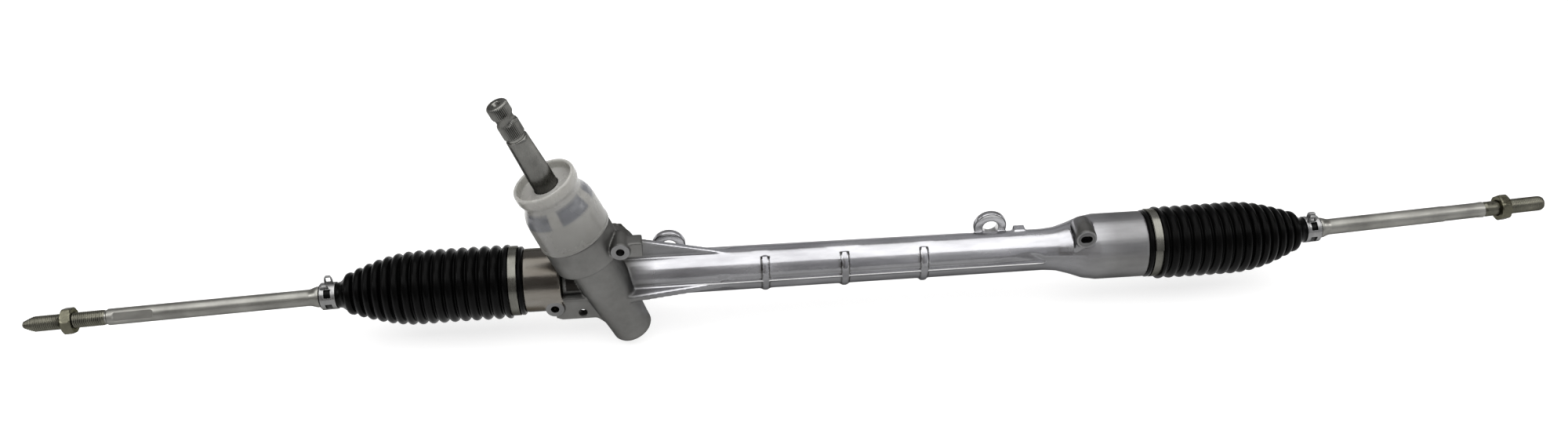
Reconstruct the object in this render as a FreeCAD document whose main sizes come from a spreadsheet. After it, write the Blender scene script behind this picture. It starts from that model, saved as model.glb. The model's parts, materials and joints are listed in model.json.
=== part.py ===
import FreeCAD, Part
import os
import re
import Sketcher
from math import acos, atan, cos, pi, radians, sin, sqrt, tan

# Manual rack and pinion steering gear with bellows and inner tie rods.
# Working frame: X along the rack, Y to the rear, Z up, origin where the pinion axis crosses
# the plane of the rack axis.  The finished pieces are moved so that the part's origin is the
# centre of the two mounting bolts on the rear face of the ears.  Lengths are millimetres.

SIZES = {
    # Rack bar and travel
    "rack_radius": (12.0, "radius of the rack bar"),
    "travel": (62.0, "rack travel to each side"),
    "ball_left": (-137.0, "left inner ball centre along the rack"),
    "ball_right": (487.0, "right inner ball centre along the rack"),
    "rack_bore_clearance": (1.2, "gap round the bar inside the tube"),
    "end_hole_depth": (19.0, "threaded hole in each rack end"),
    "end_chamfer": (1.0, "chamfer on turned ends"),
    # Rack and pinion teeth
    "module_normal": (2.0, "normal module of the teeth"),
    "pressure_angle": (20.0, "normal pressure angle"),
    "crossing_angle": (21.0, "lean of the pinion from the vertical"),
    "pinion_teeth": (7.0, "number of pinion teeth"),
    "rack_teeth_gaps": (25.0, "number of gaps cut in the rack"),
    "reference_line": (6.5, "rack reference line in front of the rack axis"),
    "rack_addendum": (2.0, "rack tooth height above the reference line"),
    "rack_dedendum": (1.7, "rack gap depth below the reference line"),
    "profile_shift": (1.2, "pinion profile shift in millimetres"),
    "backlash": (0.16, "play between the teeth"),
    "pinion_tip_radius": (10.0, "radius over the pinion teeth"),
    "pinion_root_radius": (6.3, "radius under the pinion teeth"),
    "pinion_face": (32.0, "length of the pinion teeth"),
    # Housing tube
    "housing_left": (-80.0, "left end face of the housing"),
    "housing_right": (433.0, "right end face of the housing"),
    "lip_left": (-64.5, "shoulder where the left boot ends"),
    "lip_right": (417.6, "shoulder where the right boot ends"),
    "boot_seat_radius": (23.2, "radius of the housing under a boot cuff"),
    "neck_radius": (24.5, "radius of the housing beside the pinion tower"),
    "neck_end": (-36.0, "inner end of the wide left neck"),
    "neck_edge": (0.8, "bevel at the inner end of the neck"),
    "neck_fillet": (2.0, "foot of the step down from the neck"),
    "tube_left_radius": (17.6, "tube radius beside the tower"),
    "tube_right_radius": (16.3, "tube radius where the right flare starts"),
    "flare_start": (338.0, "start of the right flare"),
    "flare_end": (379.0, "end of the right flare"),
    "barrel_radius": (25.8, "radius of the right barrel"),
    "counterbore_radius": (18.2, "bore that the ball sockets run into"),
    # Right rack bush
    "bush_length": (25.0, "length of the rack bush"),
    "bush_radius": (16.0, "outer radius of the rack bush"),
    "bush_flange": (3.0, "thickness of the bush flange"),
    "bush_clearance": (0.06, "running gap between bar and bush"),
    "bush_ring_wire": (0.9, "section radius of the bush rings"),
    # Pinion tower
    "tower_bottom": (-46.0, "lower end of the tower"),
    "tower_low_radius": (15.6, "tower radius low down"),
    "tower_mid_radius": (20.0, "tower radius under the step"),
    "tower_step": (35.0, "height of the step"),
    "tower_radius": (27.0, "radius of the bearing housing"),
    "tower_top": (59.5, "shoulder that carries the dust cover"),
    "collar_top": (67.0, "top of the collar inside the dust cover"),
    "collar_radius": (25.2, "radius of that collar"),
    "gear_chamber_radius": (11.0, "bore round the pinion teeth"),
    "upper_chamber_radius": (14.0, "bore above the pinion teeth"),
    # Upper ball bearing, seal and ring
    "bearing_seat": (40.0, "height of the bearing seat"),
    "bearing_width": (12.0, "width of the ball bearing"),
    "bearing_bore": (10.0, "bore radius of the ball bearing"),
    "bearing_radius": (21.0, "outer radius of the ball bearing"),
    "inner_race_wall": (3.2, "wall of the inner race"),
    "outer_race_wall": (3.2, "wall of the outer race"),
    "ball_radius": (3.1, "radius of a bearing ball"),
    "ball_count": (9.0, "number of bearing balls"),
    "race_clearance": (0.06, "play between balls and grooves"),
    "ring_thickness": (1.6, "thickness of the retaining ring"),
    "ring_depth": (1.4, "depth of the ring groove"),
    "ring_width": (3.4, "radial width of the ring"),
    "ring_gap": (9.0, "opening of the ring"),
    "seal_height": (7.0, "height of the pinion seal"),
    "seal_lip_clearance": (0.05, "gap at the seal lip"),
    # Lower needle bearing and plug
    "journal_radius": (6.0, "radius of the lower journal"),
    "journal_end": (-37.0, "lower end of the pinion"),
    "needle_top": (-22.0, "upper end of the needle bearing"),
    "needle_length": (13.0, "length of the needle bearing"),
    "needle_radius": (1.25, "radius of one needle"),
    "needle_count": (12.0, "number of needles"),
    "needle_clearance": (0.05, "play of the needles"),
    "shell_wall": (1.2, "wall of the needle shell"),
    "plug_thickness": (2.5, "thickness of the bottom plug"),
    "plug_radius": (10.8, "radius of the bottom plug"),
    # Pinion shaft
    "shaft_collar_radius": (12.2, "shoulder under the bearing"),
    "shaft_radius": (9.2, "shaft radius at the dust cover"),
    "shaft_top_radius": (8.1, "shaft radius below the serrations"),
    "shaft_tip": (182.0, "top of the shaft"),
    "spline_radius": (8.1, "radius over the serrations"),
    "spline_length": (28.0, "length of the serrated end"),
    "spline_neck_radius": (6.6, "radius of the clamp bolt groove"),
    "spline_neck_height": (13.0, "groove centre below the tip"),
    "centre_hole_radius": (2.6, "centre hole in the tip"),
    # Dust cover
    "cover_height": (51.7, "height of the dust cover"),
    "cover_rim_radius": (27.8, "outer radius at the lower rim"),
    "cover_skirt_radius": (27.2, "outer radius under the shoulder"),
    "cover_waist_radius": (22.6, "outer radius of the waist"),
    "cover_top_radius": (24.0, "outer radius of the top collar"),
    "cover_wall": (2.4, "wall of the dust cover"),
    "cup_depth": (6.2, "depth of the cup in the cover's top"),
    "cup_draft": (0.8, "how much the cup narrows to its floor"),
    "cover_edge": (1.0, "bevel round the cover's top"),
    "cover_shaft_clearance": (0.5, "gap between cover and shaft"),
    "cover_windows": (6.0, "number of thin windows"),
    "window_width": (20.0, "width of a thin window"),
    "window_skin": (1.1, "wall left at a window"),
    "window_turn": (-2.0, "turn of the windows round the cover"),
    # Rack yoke
    "yoke_boss_radius": (20.6, "radius of the yoke housing"),
    "yoke_boss_end": (40.0, "rear face of the yoke housing"),
    "yoke_radius": (15.0, "radius of the yoke bore"),
    "yoke_front": (3.5, "front edge of the yoke"),
    "yoke_back": (26.0, "rear face of the yoke"),
    "yoke_clearance": (0.05, "running gap of the yoke"),
    "liner_wall": (0.9, "thickness of the yoke liner"),
    "liner_clearance": (0.05, "gap between bar and liner"),
    "yoke_ring_wire": (1.1, "section radius of the yoke ring"),
    "spring_radius": (7.2, "mean radius of the yoke spring"),
    "spring_wire": (1.4, "wire radius of the yoke spring"),
    "spring_turns": (3.5, "turns of the yoke spring"),
    "spring_seat": (21.0, "floor of the spring pocket"),
    "yoke_plug_front": (33.0, "front face of the adjuster plug"),
    "yoke_plug_end": (45.0, "rear face of the adjuster plug"),
    "yoke_socket_flats": (14.0, "hexagon socket across flats"),
    "yoke_nut_thickness": (5.0, "thickness of the plug lock nut"),
    "yoke_nut_flats": (38.0, "plug lock nut across flats"),
    # Ears and bosses
    "ear_left": (46.7, "left ear along the rack"),
    "ear_right": (299.3, "right ear along the rack"),
    "ear_height": (13.7, "height of the ear bores"),
    "ear_front": (14.0, "front face of the ears"),
    "ear_back": (20.5, "rear face of the ears"),
    "ear_radius": (13.0, "outer radius of the ears"),
    "ear_bore": (6.25, "radius of the ear bores"),
    "ear_wall": (2.0, "material between an ear bore and the top of its neck"),
    "ear_edge": (1.6, "bevel round the rear of the ears"),
    "ear_foot": (1.5, "how far an ear's neck stays behind its rear face"),
    "bore_overrun": (0.2, "how far an ear bore is cut past the front face"),
    "slot_boss_x": (366.2, "slotted boss along the rack"),
    "slot_boss_z": (24.4, "slotted boss height"),
    "slot_boss_front": (-22.0, "front face of the slotted boss"),
    "slot_boss_back": (-1.6, "rear face of the slotted boss"),
    "slot_boss_radius": (8.2, "radius of the slotted boss"),
    "sleeve_radius": (6.2, "outer radius of the slot sleeve"),
    "slot_width": (6.4, "width of the slot"),
    "slot_length": (9.2, "length of the slot"),
    "upper_boss_x": (11.8, "upper front boss along the rack"),
    "upper_boss_z": (49.3, "upper front boss height"),
    "upper_boss_front": (-35.5, "upper front boss face"),
    "lower_boss_x": (-42.1, "lower front boss along the rack"),
    "lower_boss_z": (-10.7, "lower front boss height"),
    "lower_boss_front": (-24.0, "lower front boss face"),
    "boss_depth": (19.0, "length of the two small front bosses"),
    "boss_proud": (3.0, "how far a boss face stands before its foot"),
    "boss_lug_length": (14.0, "length of the lug beside the upper boss"),
    "boss_lug_depth": (12.0, "depth of that lug"),
    "boss_lug_height": (13.0, "height of that lug"),
    "boss_neck_depth": (11.0, "depth of the neck over the lower boss"),
    "boss_neck_height": (17.0, "height of that neck"),
    "boss_radius": (7.3, "radius of the small bosses"),
    "boss_bore": (3.2, "radius of the holes in the bosses"),
    "blind_depth": (10.0, "depth of the lower boss hole"),
    "lug_hole_x": (-21.5, "lug hole along the rack"),
    "lug_hole_z": (-18.0, "lug hole height"),
    "lug_front": (-21.5, "front face of the lug"),
    "lug_thickness": (8.0, "thickness of the lug"),
    "lug_edge": (2.6, "material under the lug hole"),
    "ledge_height": (-1.0, "top of the ledge over the lug"),
    "ledge_thickness": (3.2, "thickness of that ledge"),
    "ledge_proud": (3.0, "how far the ledge stands before the lug"),
    "pad_offset": (17.0, "locating pad beside the right ear"),
    "pad_size": (9.0, "length and height of the locating pad"),
    "pad_depth": (7.0, "depth of the locating pad"),
    "pad_foot": (7.5, "height of the pad's lower face"),
    # Webs and ribs
    "web_end": (92.0, "where the webs run out"),
    "web_height": (36.0, "height of the upright web at the tower"),
    "web_reach": (28.5, "reach of the flat web at the tower"),
    "web_thickness": (5.0, "thickness of the webs"),
    "ridge_height": (0.9, "height of the parting ridge"),
    "ridge_thickness": (1.6, "thickness of the parting ridge"),
    "rib_first": (119.7, "first rib along the rack"),
    "rib_pitch": (61.5, "distance between ribs"),
    "rib_count": (3.0, "number of ribs"),
    "rib_width": (5.5, "width of a rib"),
    "rib_height": (1.9, "height of a rib"),
    # Ball sockets and tie rods
    "socket_reach": (20.0, "ball centre to socket shoulder"),
    "socket_mouth": (10.5, "ball centre to socket mouth"),
    "socket_radius": (16.8, "outer radius of a socket"),
    "socket_stud_radius": (7.0, "radius of the socket's stud"),
    "socket_stud_length": (17.0, "length of the socket's stud"),
    "socket_flats": (28.0, "wrench flats of a socket"),
    "stud_clearance": (0.03, "gap between stud and rack hole"),
    "washer_thickness": (2.0, "thickness of the lock washer"),
    "washer_radius": (17.2, "radius of the lock washer"),
    "rod_ball_radius": (11.4, "radius of the tie rod ball"),
    "seat_wall": (1.7, "wall of the plastic ball seat"),
    "joint_clearance": (0.1, "gap between ball, seat and socket"),
    "seat_mouth": (2.5, "front edge of the seat before the ball centre"),
    "mouth_radius": (11.2, "radius of the socket mouth"),
    "mouth_flare": (13.0, "radius of the mouth at its face"),
    "rod_neck_radius": (5.7, "radius of the rod behind the ball"),
    "rod_neck_length": (16.0, "length of the rod's neck beyond the ball"),
    "rod_neck_ramp": (8.0, "length over which the neck grows to the rod"),
    "collar_length": (3.0, "length of the collars beside the boot seat on a rod"),
    "collar_ramp": (5.0, "length of the cones behind those collars"),
    "collar_rise": (0.6, "how far those collars stand out"),
    "collar_edge": (0.4, "length of the step into the boot seat"),
    "thread_lead": (1.8, "length of the run-in on both sides of a thread's start"),
    "thread_run_out": (0.9, "depth of the thread's start groove"),
    "thread_room": (1.0, "relieved thread beyond a lock nut"),
    "tip_taper_left": (7.0, "length of the left rod's tapered tip"),
    "tip_taper_right": (2.4, "length of the right rod's rounded tip"),
    "tip_radius_left": (3.0, "end radius of the left rod"),
    "tip_radius_right": (4.2, "end radius of the right rod"),
    "flats_tilt": (35.0, "turn of the wrench flats round the rod"),
    "flats_cut_depth": (4.0, "depth of the cutter that makes a wrench flat"),
    "flats_cut_width": (30.0, "width of that cutter"),
    "rod_swell_radius": (7.4, "radius of the rod under the boot cuff"),
    "rod_radius": (6.3, "radius of the plain rod"),
    "thread_radius": (6.0, "radius of the rod thread"),
    "thread_relief": (0.45, "depth of the thread in mesh with the lock nut"),
    "cuff_distance": (76.0, "ball centre to the middle of the boot cuff"),
    "rod_flats": (10.8, "rod wrench flats"),
    "flats_length": (31.0, "length of the rod wrench flats"),
    "flats_left": (208.0, "start of the left rod's wrench flats"),
    "thread_left": (245.0, "start of the left thread"),
    "tip_left": (307.5, "end of the left rod"),
    "nut_left": (268.6, "inner face of the left lock nut"),
    "flats_right": (183.0, "start of the right rod's wrench flats"),
    "thread_right": (217.5, "start of the right thread"),
    "tip_right": (269.8, "end of the right rod"),
    "nut_right": (226.1, "inner face of the right lock nut"),
    "nut_flats": (19.0, "lock nut across flats"),
    "nut_thickness": (12.4, "thickness of the lock nut"),
    "nut_clearance": (0.05, "gap between nut and thread"),
    "droop_left": (2.6, "left rod below the rack line, degrees"),
    "rise_right": (0.4, "right rod above the rack line, degrees"),
    "swing_right": (4.0, "right rod behind the rack line, degrees"),
    # Bellows and clamps
    "fold_count": (16.0, "folds of a boot"),
    "fold_ratio": (1.22, "last fold pitch over the first"),
    "boot_wall": (1.5, "wall of the boots"),
    "crest_radius": (28.2, "outer radius of the large folds"),
    "crest_small_radius": (17.2, "outer radius of the first fold"),
    "growing_folds": (5.0, "folds until the full radius"),
    "fold_depth": (5.6, "depth of a fold"),
    "cuff_length": (14.0, "length of the small cuff"),
    "cuff_clearance": (0.12, "gap between small cuff and rod"),
    "large_cuff_wall": (2.4, "wall of the large cuff"),
    "small_cuff_wall": (2.1, "wall of the small cuff"),
    "band_inset": (4.2, "large clamp from the boot's end"),
    "band_width": (6.5, "width of the large clamp"),
    "band_thickness": (0.8, "thickness of the large clamp"),
    "clamp_clearance": (0.05, "gap between a clamp and its cuff"),
    "clip_width": (11.5, "width of the small clamp"),
    "clip_thickness": (0.9, "thickness of the small clamp"),
    "clip_ear": (6.0, "height of the small clamp's ears"),
}

doc = FreeCAD.newDocument("SteeringRack")
sheet = doc.addObject("Spreadsheet::Sheet", "Sizes")
for row, (alias, (value, meaning)) in enumerate(SIZES.items(), start=1):
    sheet.set("A%d" % row, meaning)
    sheet.set("B%d" % row, str(value))
    sheet.setAlias("B%d" % row, alias)
doc.recompute()

nodes = {}


# Small tools for the document

def size(alias):
    """Value of one named size."""
    return float(sheet.get(alias))


def bound(text):
    """Expression text in which every size name points at the sheet."""
    def point(word):
        return "Sizes." + word.group(0) if word.group(0) in SIZES else word.group(0)
    return re.sub(r"[A-Za-z_]+", point, text)


def vec(x=0.0, y=0.0, z=0.0):
    return FreeCAD.Vector(x, y, z)


def turn(axis, angle):
    return FreeCAD.Rotation(axis, angle)


def frame(position=None, rotation=None):
    return FreeCAD.Placement(position or vec(), rotation or FreeCAD.Rotation())


def home():
    """Placement that carries the working frame into the part's frame."""
    middle = (size("ear_left") + size("ear_right")) / 2
    return frame(vec(-middle, -size("ear_back"), -size("ear_height")))


def keep(name, shape_object, placement=None):
    """Register a finished piece under its node name and move it into the part's frame."""
    shape_object.Label = name
    shape_object.Placement = home().multiply(placement or shape_object.Placement)
    nodes[name] = shape_object
    return shape_object


def draw(body, name, role, points):
    """Closed outline on one of the body's planes, each corner bound to the sheet."""
    plane = [item for item in body.Origin.OriginFeatures if item.Role == role][0]
    outline = body.newObject("Sketcher::SketchObject", name)
    outline.AttachmentSupport = [(plane, "")]
    outline.MapMode = "FlatFace"
    total = len(points)
    start = [vec(i, i * i + 1) for i in range(total)]
    for i in range(total):
        outline.addGeometry(Part.LineSegment(start[i], start[(i + 1) % total]), False)
    for i in range(total):
        outline.addConstraint(Sketcher.Constraint("Coincident", i, 2, (i + 1) % total, 1))
    for i, corner in enumerate(points):
        for kind, text, now in zip(("DistanceX", "DistanceY"), corner, (start[i].x, start[i].y)):
            which = outline.addConstraint(Sketcher.Constraint(kind, -1, 1, i, 1, float(now)))
            outline.setExpression("Constraints[%d]" % which, bound(text))
    doc.recompute()
    return outline


def turned(name, points, placement=None):
    """Body of revolution about its own X axis from (x, radius) corners."""
    body = doc.addObject("PartDesign::Body", name)
    outline = draw(body, name + "_outline", "XY_Plane", points)
    solid = body.newObject("PartDesign::Revolution", name + "_turned")
    solid.Profile = outline
    solid.ReferenceAxis = (outline, ["H_Axis"])
    solid.Angle = 360
    outline.Visibility = False
    body.Placement = placement or frame()
    doc.recompute()
    return body


def plate(name, role, points, thickness, placement=None):
    """Flat body of the given thickness, centred on one of its planes."""
    body = doc.addObject("PartDesign::Body", name)
    outline = draw(body, name + "_outline", role, points)
    solid = body.newObject("PartDesign::Pad", name + "_pad")
    solid.Profile = outline
    solid.setExpression("Length", bound(thickness))
    solid.Midplane = True
    body.Placement = placement or frame()
    doc.recompute()
    return body


def cylinder(name, radius, length, position, direction):
    """Cylinder from a point along a direction."""
    made = doc.addObject("Part::Cylinder", name)
    made.setExpression("Radius", bound(radius))
    made.setExpression("Height", bound(length))
    made.Placement = frame(position, FreeCAD.Rotation(vec(0, 0, 1), direction))
    return made


def box(name, length, width, height, position):
    """Box from its low corner."""
    made = doc.addObject("Part::Box", name)
    made.setExpression("Length", bound(length))
    made.setExpression("Width", bound(width))
    made.setExpression("Height", bound(height))
    made.Placement = frame(position)
    return made


def ball(name, radius, placement):
    """Sphere whose poles lie on the X axis of the given placement."""
    made = doc.addObject("Part::Sphere", name)
    made.setExpression("Radius", bound(radius))
    made.Placement = placement.multiply(frame(rotation=turn(vec(0, 1, 0), 90)))
    return made


def hoop(name, radius, wire, placement):
    """Torus about the X axis of the given placement."""
    made = doc.addObject("Part::Torus", name)
    made.setExpression("Radius1", bound(radius))
    made.setExpression("Radius2", bound(wire))
    made.Placement = placement.multiply(frame(rotation=turn(vec(0, 1, 0), 90)))
    return made


def fuse(name, pieces):
    made = doc.addObject("Part::MultiFuse", name)
    made.Shapes = pieces
    made.Refine = True
    return made


def cut(name, base, tool):
    made = doc.addObject("Part::Cut", name)
    made.Base = base
    made.Tool = tool
    return made


def common(name, one, other):
    made = doc.addObject("Part::MultiCommon", name)
    made.Shapes = [one, other]
    return made


def group(name, pieces):
    """Separate solids that share one node."""
    made = doc.addObject("Part::Compound", name)
    made.Links = pieces
    return made


def fixed(name, shape):
    """Feature whose shape is worked out in this file from the sheet."""
    made = doc.addObject("Part::Feature", name)
    made.Shape = shape
    return made


# Frames of the piece groups, in the working frame

def pinion_y():
    """Distance of the pinion axis in front of the rack axis, as a Y value."""
    return -(size("reference_line") + size("profile_shift") + pitch_radius())


def pitch_radius():
    lean = cos(radians(size("crossing_angle")))
    return size("module_normal") * size("pinion_teeth") / (2 * lean)


def pinion_frame():
    """X of this frame runs up the pinion axis."""
    return frame(vec(0, pinion_y(), 0), turn(vec(0, 1, 0), -90 - size("crossing_angle")))


def pinion_upright():
    """Z of this frame runs up the pinion axis."""
    return frame(vec(0, pinion_y(), 0), turn(vec(0, 1, 0), -size("crossing_angle")))


def yoke_frame():
    """X of this frame runs to the rear through the rack yoke."""
    return frame(rotation=turn(vec(0, 0, 1), 90))


def rod_frame(side):
    """X of this frame runs outwards along a tie rod from its ball centre."""
    if side == "left":
        rotation = turn(vec(0, 1, 0), 180 - size("droop_left"))
        return frame(vec(size("ball_left"), 0, 0), rotation)
    rise = turn(vec(0, 1, 0), -size("rise_right"))
    swing = turn(vec(0, 0, 1), size("swing_right"))
    return frame(vec(size("ball_right"), 0, 0), rise.multiply(swing))


def socket_frame(side):
    """X of this frame runs outwards along the rack from a ball centre."""
    if side == "left":
        return frame(vec(size("ball_left"), 0, 0), turn(vec(0, 1, 0), 180))
    return frame(vec(size("ball_right"), 0, 0))


RACK_LEFT = "(ball_left + socket_reach + washer_thickness)"
RACK_RIGHT = "(ball_right - socket_reach - washer_thickness)"
STOP_LEFT = "(%s + travel)" % RACK_LEFT
STOP_RIGHT = "(%s - travel)" % RACK_RIGHT
BUSH_LEFT = "(%s - bush_length)" % STOP_RIGHT
BEARING_TOP = "(bearing_seat + bearing_width)"
RING_TOP = "(%s + ring_thickness)" % BEARING_TOP
SEAL_FOOT = "(%s + 2)" % RING_TOP


# Housing

def tube_outside():
    """Cast tube from the left boot seat to the right boot seat."""
    # Shares of the flare's length, each with its share of the growth in radius
    flare = [(0.25, 0.1), (0.5, 0.42), (0.75, 0.82)]
    points = [
        ("housing_left", "0"),
        ("housing_left", "boot_seat_radius - end_chamfer"),
        ("housing_left + end_chamfer", "boot_seat_radius"),
        ("lip_left", "boot_seat_radius"),
        ("lip_left", "neck_radius - 0.6"),
        ("lip_left + 0.6", "neck_radius"),
        ("neck_end - neck_edge", "neck_radius"),
        ("neck_end", "neck_radius - neck_edge"),
        ("neck_end", "tube_left_radius + neck_fillet"),
        ("neck_end + neck_fillet", "tube_left_radius"),
        ("flare_start", "tube_right_radius"),
    ]
    for along, grown in flare:
        points.append((
            "flare_start + (flare_end - flare_start) * %s" % along,
            "tube_right_radius + (barrel_radius - tube_right_radius) * %s" % grown))
    points += [
        ("flare_end", "barrel_radius"),
        ("lip_right - 0.6", "barrel_radius"),
        ("lip_right", "barrel_radius - 0.6"),
        ("lip_right", "boot_seat_radius"),
        ("housing_right - end_chamfer", "boot_seat_radius"),
        ("housing_right", "boot_seat_radius - end_chamfer"),
        ("housing_right", "0"),
    ]
    return turned("tube_outside", points)


def tower_outside():
    """Bearing housing and lower boss round the pinion."""
    return turned("tower_outside", [
        ("tower_bottom", "0"),
        ("tower_bottom", "tower_low_radius - 4"),
        ("tower_bottom + 1.2", "tower_low_radius - 1.8"),
        ("tower_bottom + 4", "tower_low_radius"),
        ("tower_bottom + 16", "tower_low_radius + 0.6"),
        ("5", "tower_mid_radius - 1.2"),
        ("tower_step - 2", "tower_mid_radius"),
        ("tower_step", "tower_mid_radius + 1.6"),
        ("tower_step", "tower_radius - 1.2"),
        ("tower_step + 1.2", "tower_radius"),
        ("tower_top", "tower_radius"),
        ("tower_top", "collar_radius"),
        ("collar_top - end_chamfer", "collar_radius"),
        ("collar_top", "collar_radius - end_chamfer"),
        ("collar_top", "0"),
    ], pinion_frame())


def yoke_outside():
    """Round boss behind the rack that holds the yoke."""
    return turned("yoke_outside", [
        ("0", "0"),
        ("0", "yoke_boss_radius"),
        ("yoke_boss_end - 1.5", "yoke_boss_radius"),
        ("yoke_boss_end", "yoke_boss_radius - 1.5"),
        ("yoke_boss_end", "0"),
    ], yoke_frame())


def front_boss(name, radius, front, back, x, z):
    """Boss that faces the front."""
    start = vec(size(x), size(front), size(z))
    return cylinder(name, radius, "%s - %s" % (back, front), start, vec(0, 1, 0))


def front_bosses():
    """Slotted boss on the flare and the two small bosses beside the tower."""
    proud, radius = size("boss_proud"), size("boss_radius")
    upper = vec(size("upper_boss_x"), size("upper_boss_front"), size("upper_boss_z"))
    lower = vec(size("lower_boss_x"), size("lower_boss_front"), size("lower_boss_z"))
    return [
        front_boss("slot_boss", "slot_boss_radius", "slot_boss_front", "slot_boss_back",
                   "slot_boss_x", "slot_boss_z"),
        cylinder("upper_boss", "boss_radius", "boss_depth", upper, vec(0, 1, 0)),
        cylinder("lower_boss", "boss_radius", "boss_depth", lower, vec(0, 1, 0)),
        box("boss_lug", "boss_lug_length", "boss_lug_depth", "boss_lug_height",
            upper + vec(radius * 0.3, proud, -radius * 1.1)),
        box("boss_neck", "boss_radius * 1.3", "boss_neck_depth", "boss_neck_height",
            lower + vec(-radius * 0.65, proud, 0)),
    ]


def slot_boss_foot():
    """Wall that carries the slotted boss down to the flare."""
    return plate("slot_boss_foot", "YZ_Plane", [
        ("slot_boss_front + 2", "slot_boss_z"),
        ("slot_boss_front + 5", "slot_boss_radius / 2"),
        ("0", "slot_boss_radius / 2"),
        ("slot_boss_back", "slot_boss_z"),
    ], "slot_boss_radius * 1.7", frame(vec(size("slot_boss_x"), 0, 0)))


def lower_lug():
    """Flat lug with a hole between the lower boss and the tower."""
    lug = plate("lower_lug", "XZ_Plane", [
        ("lower_boss_x", "lug_hole_z - 4"),
        ("lower_boss_x + 4", "lug_hole_z - boss_bore - lug_edge"),
        ("lug_hole_x + 10", "lug_hole_z - boss_bore - lug_edge"),
        ("0", "tower_bottom + 12"),
        ("lug_thickness", "0"),
        ("lower_boss_x", "0"),
    ], "lug_thickness", frame(vec(0, size("lug_front") + size("lug_thickness") / 2, 0)))
    ledge = box("lug_ledge", "-neck_end", "lug_thickness + ledge_proud", "ledge_thickness",
                vec(size("neck_end") - 1, size("lug_front") - size("ledge_proud"),
                    size("ledge_height") - size("ledge_thickness")))
    return [lug, ledge]


def webs():
    """Upright and flat webs that run from the tower out along the tube."""
    upright = plate("upright_web", "XZ_Plane", [
        ("0", "0"),
        ("0", "web_height + 2"),
        ("upper_boss_x", "web_height"),
        ("web_end", "tube_left_radius - 1"),
        ("web_end", "0"),
    ], "web_thickness")
    flat = plate("flat_web", "XY_Plane", [
        ("0", "0"),
        ("0", "-web_reach - 2"),
        ("upper_boss_x + 4", "-web_reach"),
        ("web_end", "-tube_left_radius + 1"),
        ("web_end", "0"),
    ], "web_thickness", frame(vec(0, 0, -size("web_thickness") / 2)))
    return [upright, flat]


def parting_ridge():
    """Low ridge left by the die along both sides of the tube."""
    return plate("parting_ridge", "XY_Plane", [
        ("web_end - 6", "-tube_left_radius - ridge_height"),
        ("flare_start", "-tube_right_radius - ridge_height"),
        ("flare_start", "tube_right_radius + ridge_height"),
        ("web_end - 6", "tube_left_radius + ridge_height"),
    ], "ridge_thickness")


def front_ribs():
    """Short ribs round the front of the tube."""
    made = []
    for i in range(int(size("rib_count"))):
        ring = turned("rib_ring_%d" % i, [
            ("-rib_width / 2", "tube_right_radius - 2"),
            ("-rib_width / 2", "tube_left_radius"),
            ("-rib_width / 2 + 1", "tube_left_radius + rib_height - 1"),
            ("rib_width / 2 - 1", "tube_left_radius + rib_height - 1"),
            ("rib_width / 2", "tube_left_radius"),
            ("rib_width / 2", "tube_right_radius - 2"),
        ], frame(vec(size("rib_first") + i * size("rib_pitch"), 0, 0)))
        reach = size("tube_left_radius") + size("rib_height") + 2
        front = box("rib_front_%d" % i, "rib_width + 2", "tube_left_radius * 0.75",
                    "(tube_left_radius + rib_height + 2) * 2",
                    vec(size("rib_first") + i * size("rib_pitch") - size("rib_width") / 2 - 1,
                        -reach, -reach))
        made.append(common("rib_%d" % i, ring, front))
    return made


def ear(name, x):
    """Rear mounting ear with the neck that joins it to the tube."""
    eye = turned(name + "_eye", [
        ("ear_front", "0"),
        ("ear_front", "ear_radius"),
        ("ear_back - ear_edge", "ear_radius"),
        ("ear_back", "ear_radius - ear_edge"),
        ("ear_back", "0"),
    ], frame(vec(size(x), 0, size("ear_height")), turn(vec(0, 0, 1), 90)))
    neck = plate(name + "_neck", "YZ_Plane", [
        ("0", "-tube_right_radius + 2"),
        ("ear_front", "ear_height - ear_radius - 6"),
        ("ear_back - ear_foot", "ear_height - ear_radius + 3"),
        ("ear_back - ear_foot", "ear_height - ear_bore - ear_wall"),
        ("0", "ear_height - ear_bore - ear_wall"),
    ], "ear_radius * 1.35", frame(vec(size(x), 0, 0)))
    return [eye, neck]


def top_pad():
    """Small locating pad behind the right ear."""
    corner = vec(size("ear_right") + size("pad_offset"), 5, size("pad_foot"))
    return box("top_pad", "pad_size", "pad_depth", "pad_size", corner)


def rack_bore():
    """Bore for the rack, the bush and the two ball sockets."""
    return turned("rack_bore", [
        ("housing_left - 1", "0"),
        ("housing_left - 1", "counterbore_radius"),
        (STOP_LEFT, "counterbore_radius"),
        (STOP_LEFT, "rack_radius + rack_bore_clearance"),
        (BUSH_LEFT, "rack_radius + rack_bore_clearance"),
        (BUSH_LEFT, "bush_radius"),
        (STOP_RIGHT + " - bush_flange", "bush_radius"),
        (STOP_RIGHT + " - bush_flange", "counterbore_radius"),
        ("housing_right + 1", "counterbore_radius"),
        ("housing_right + 1", "0"),
    ])


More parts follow.
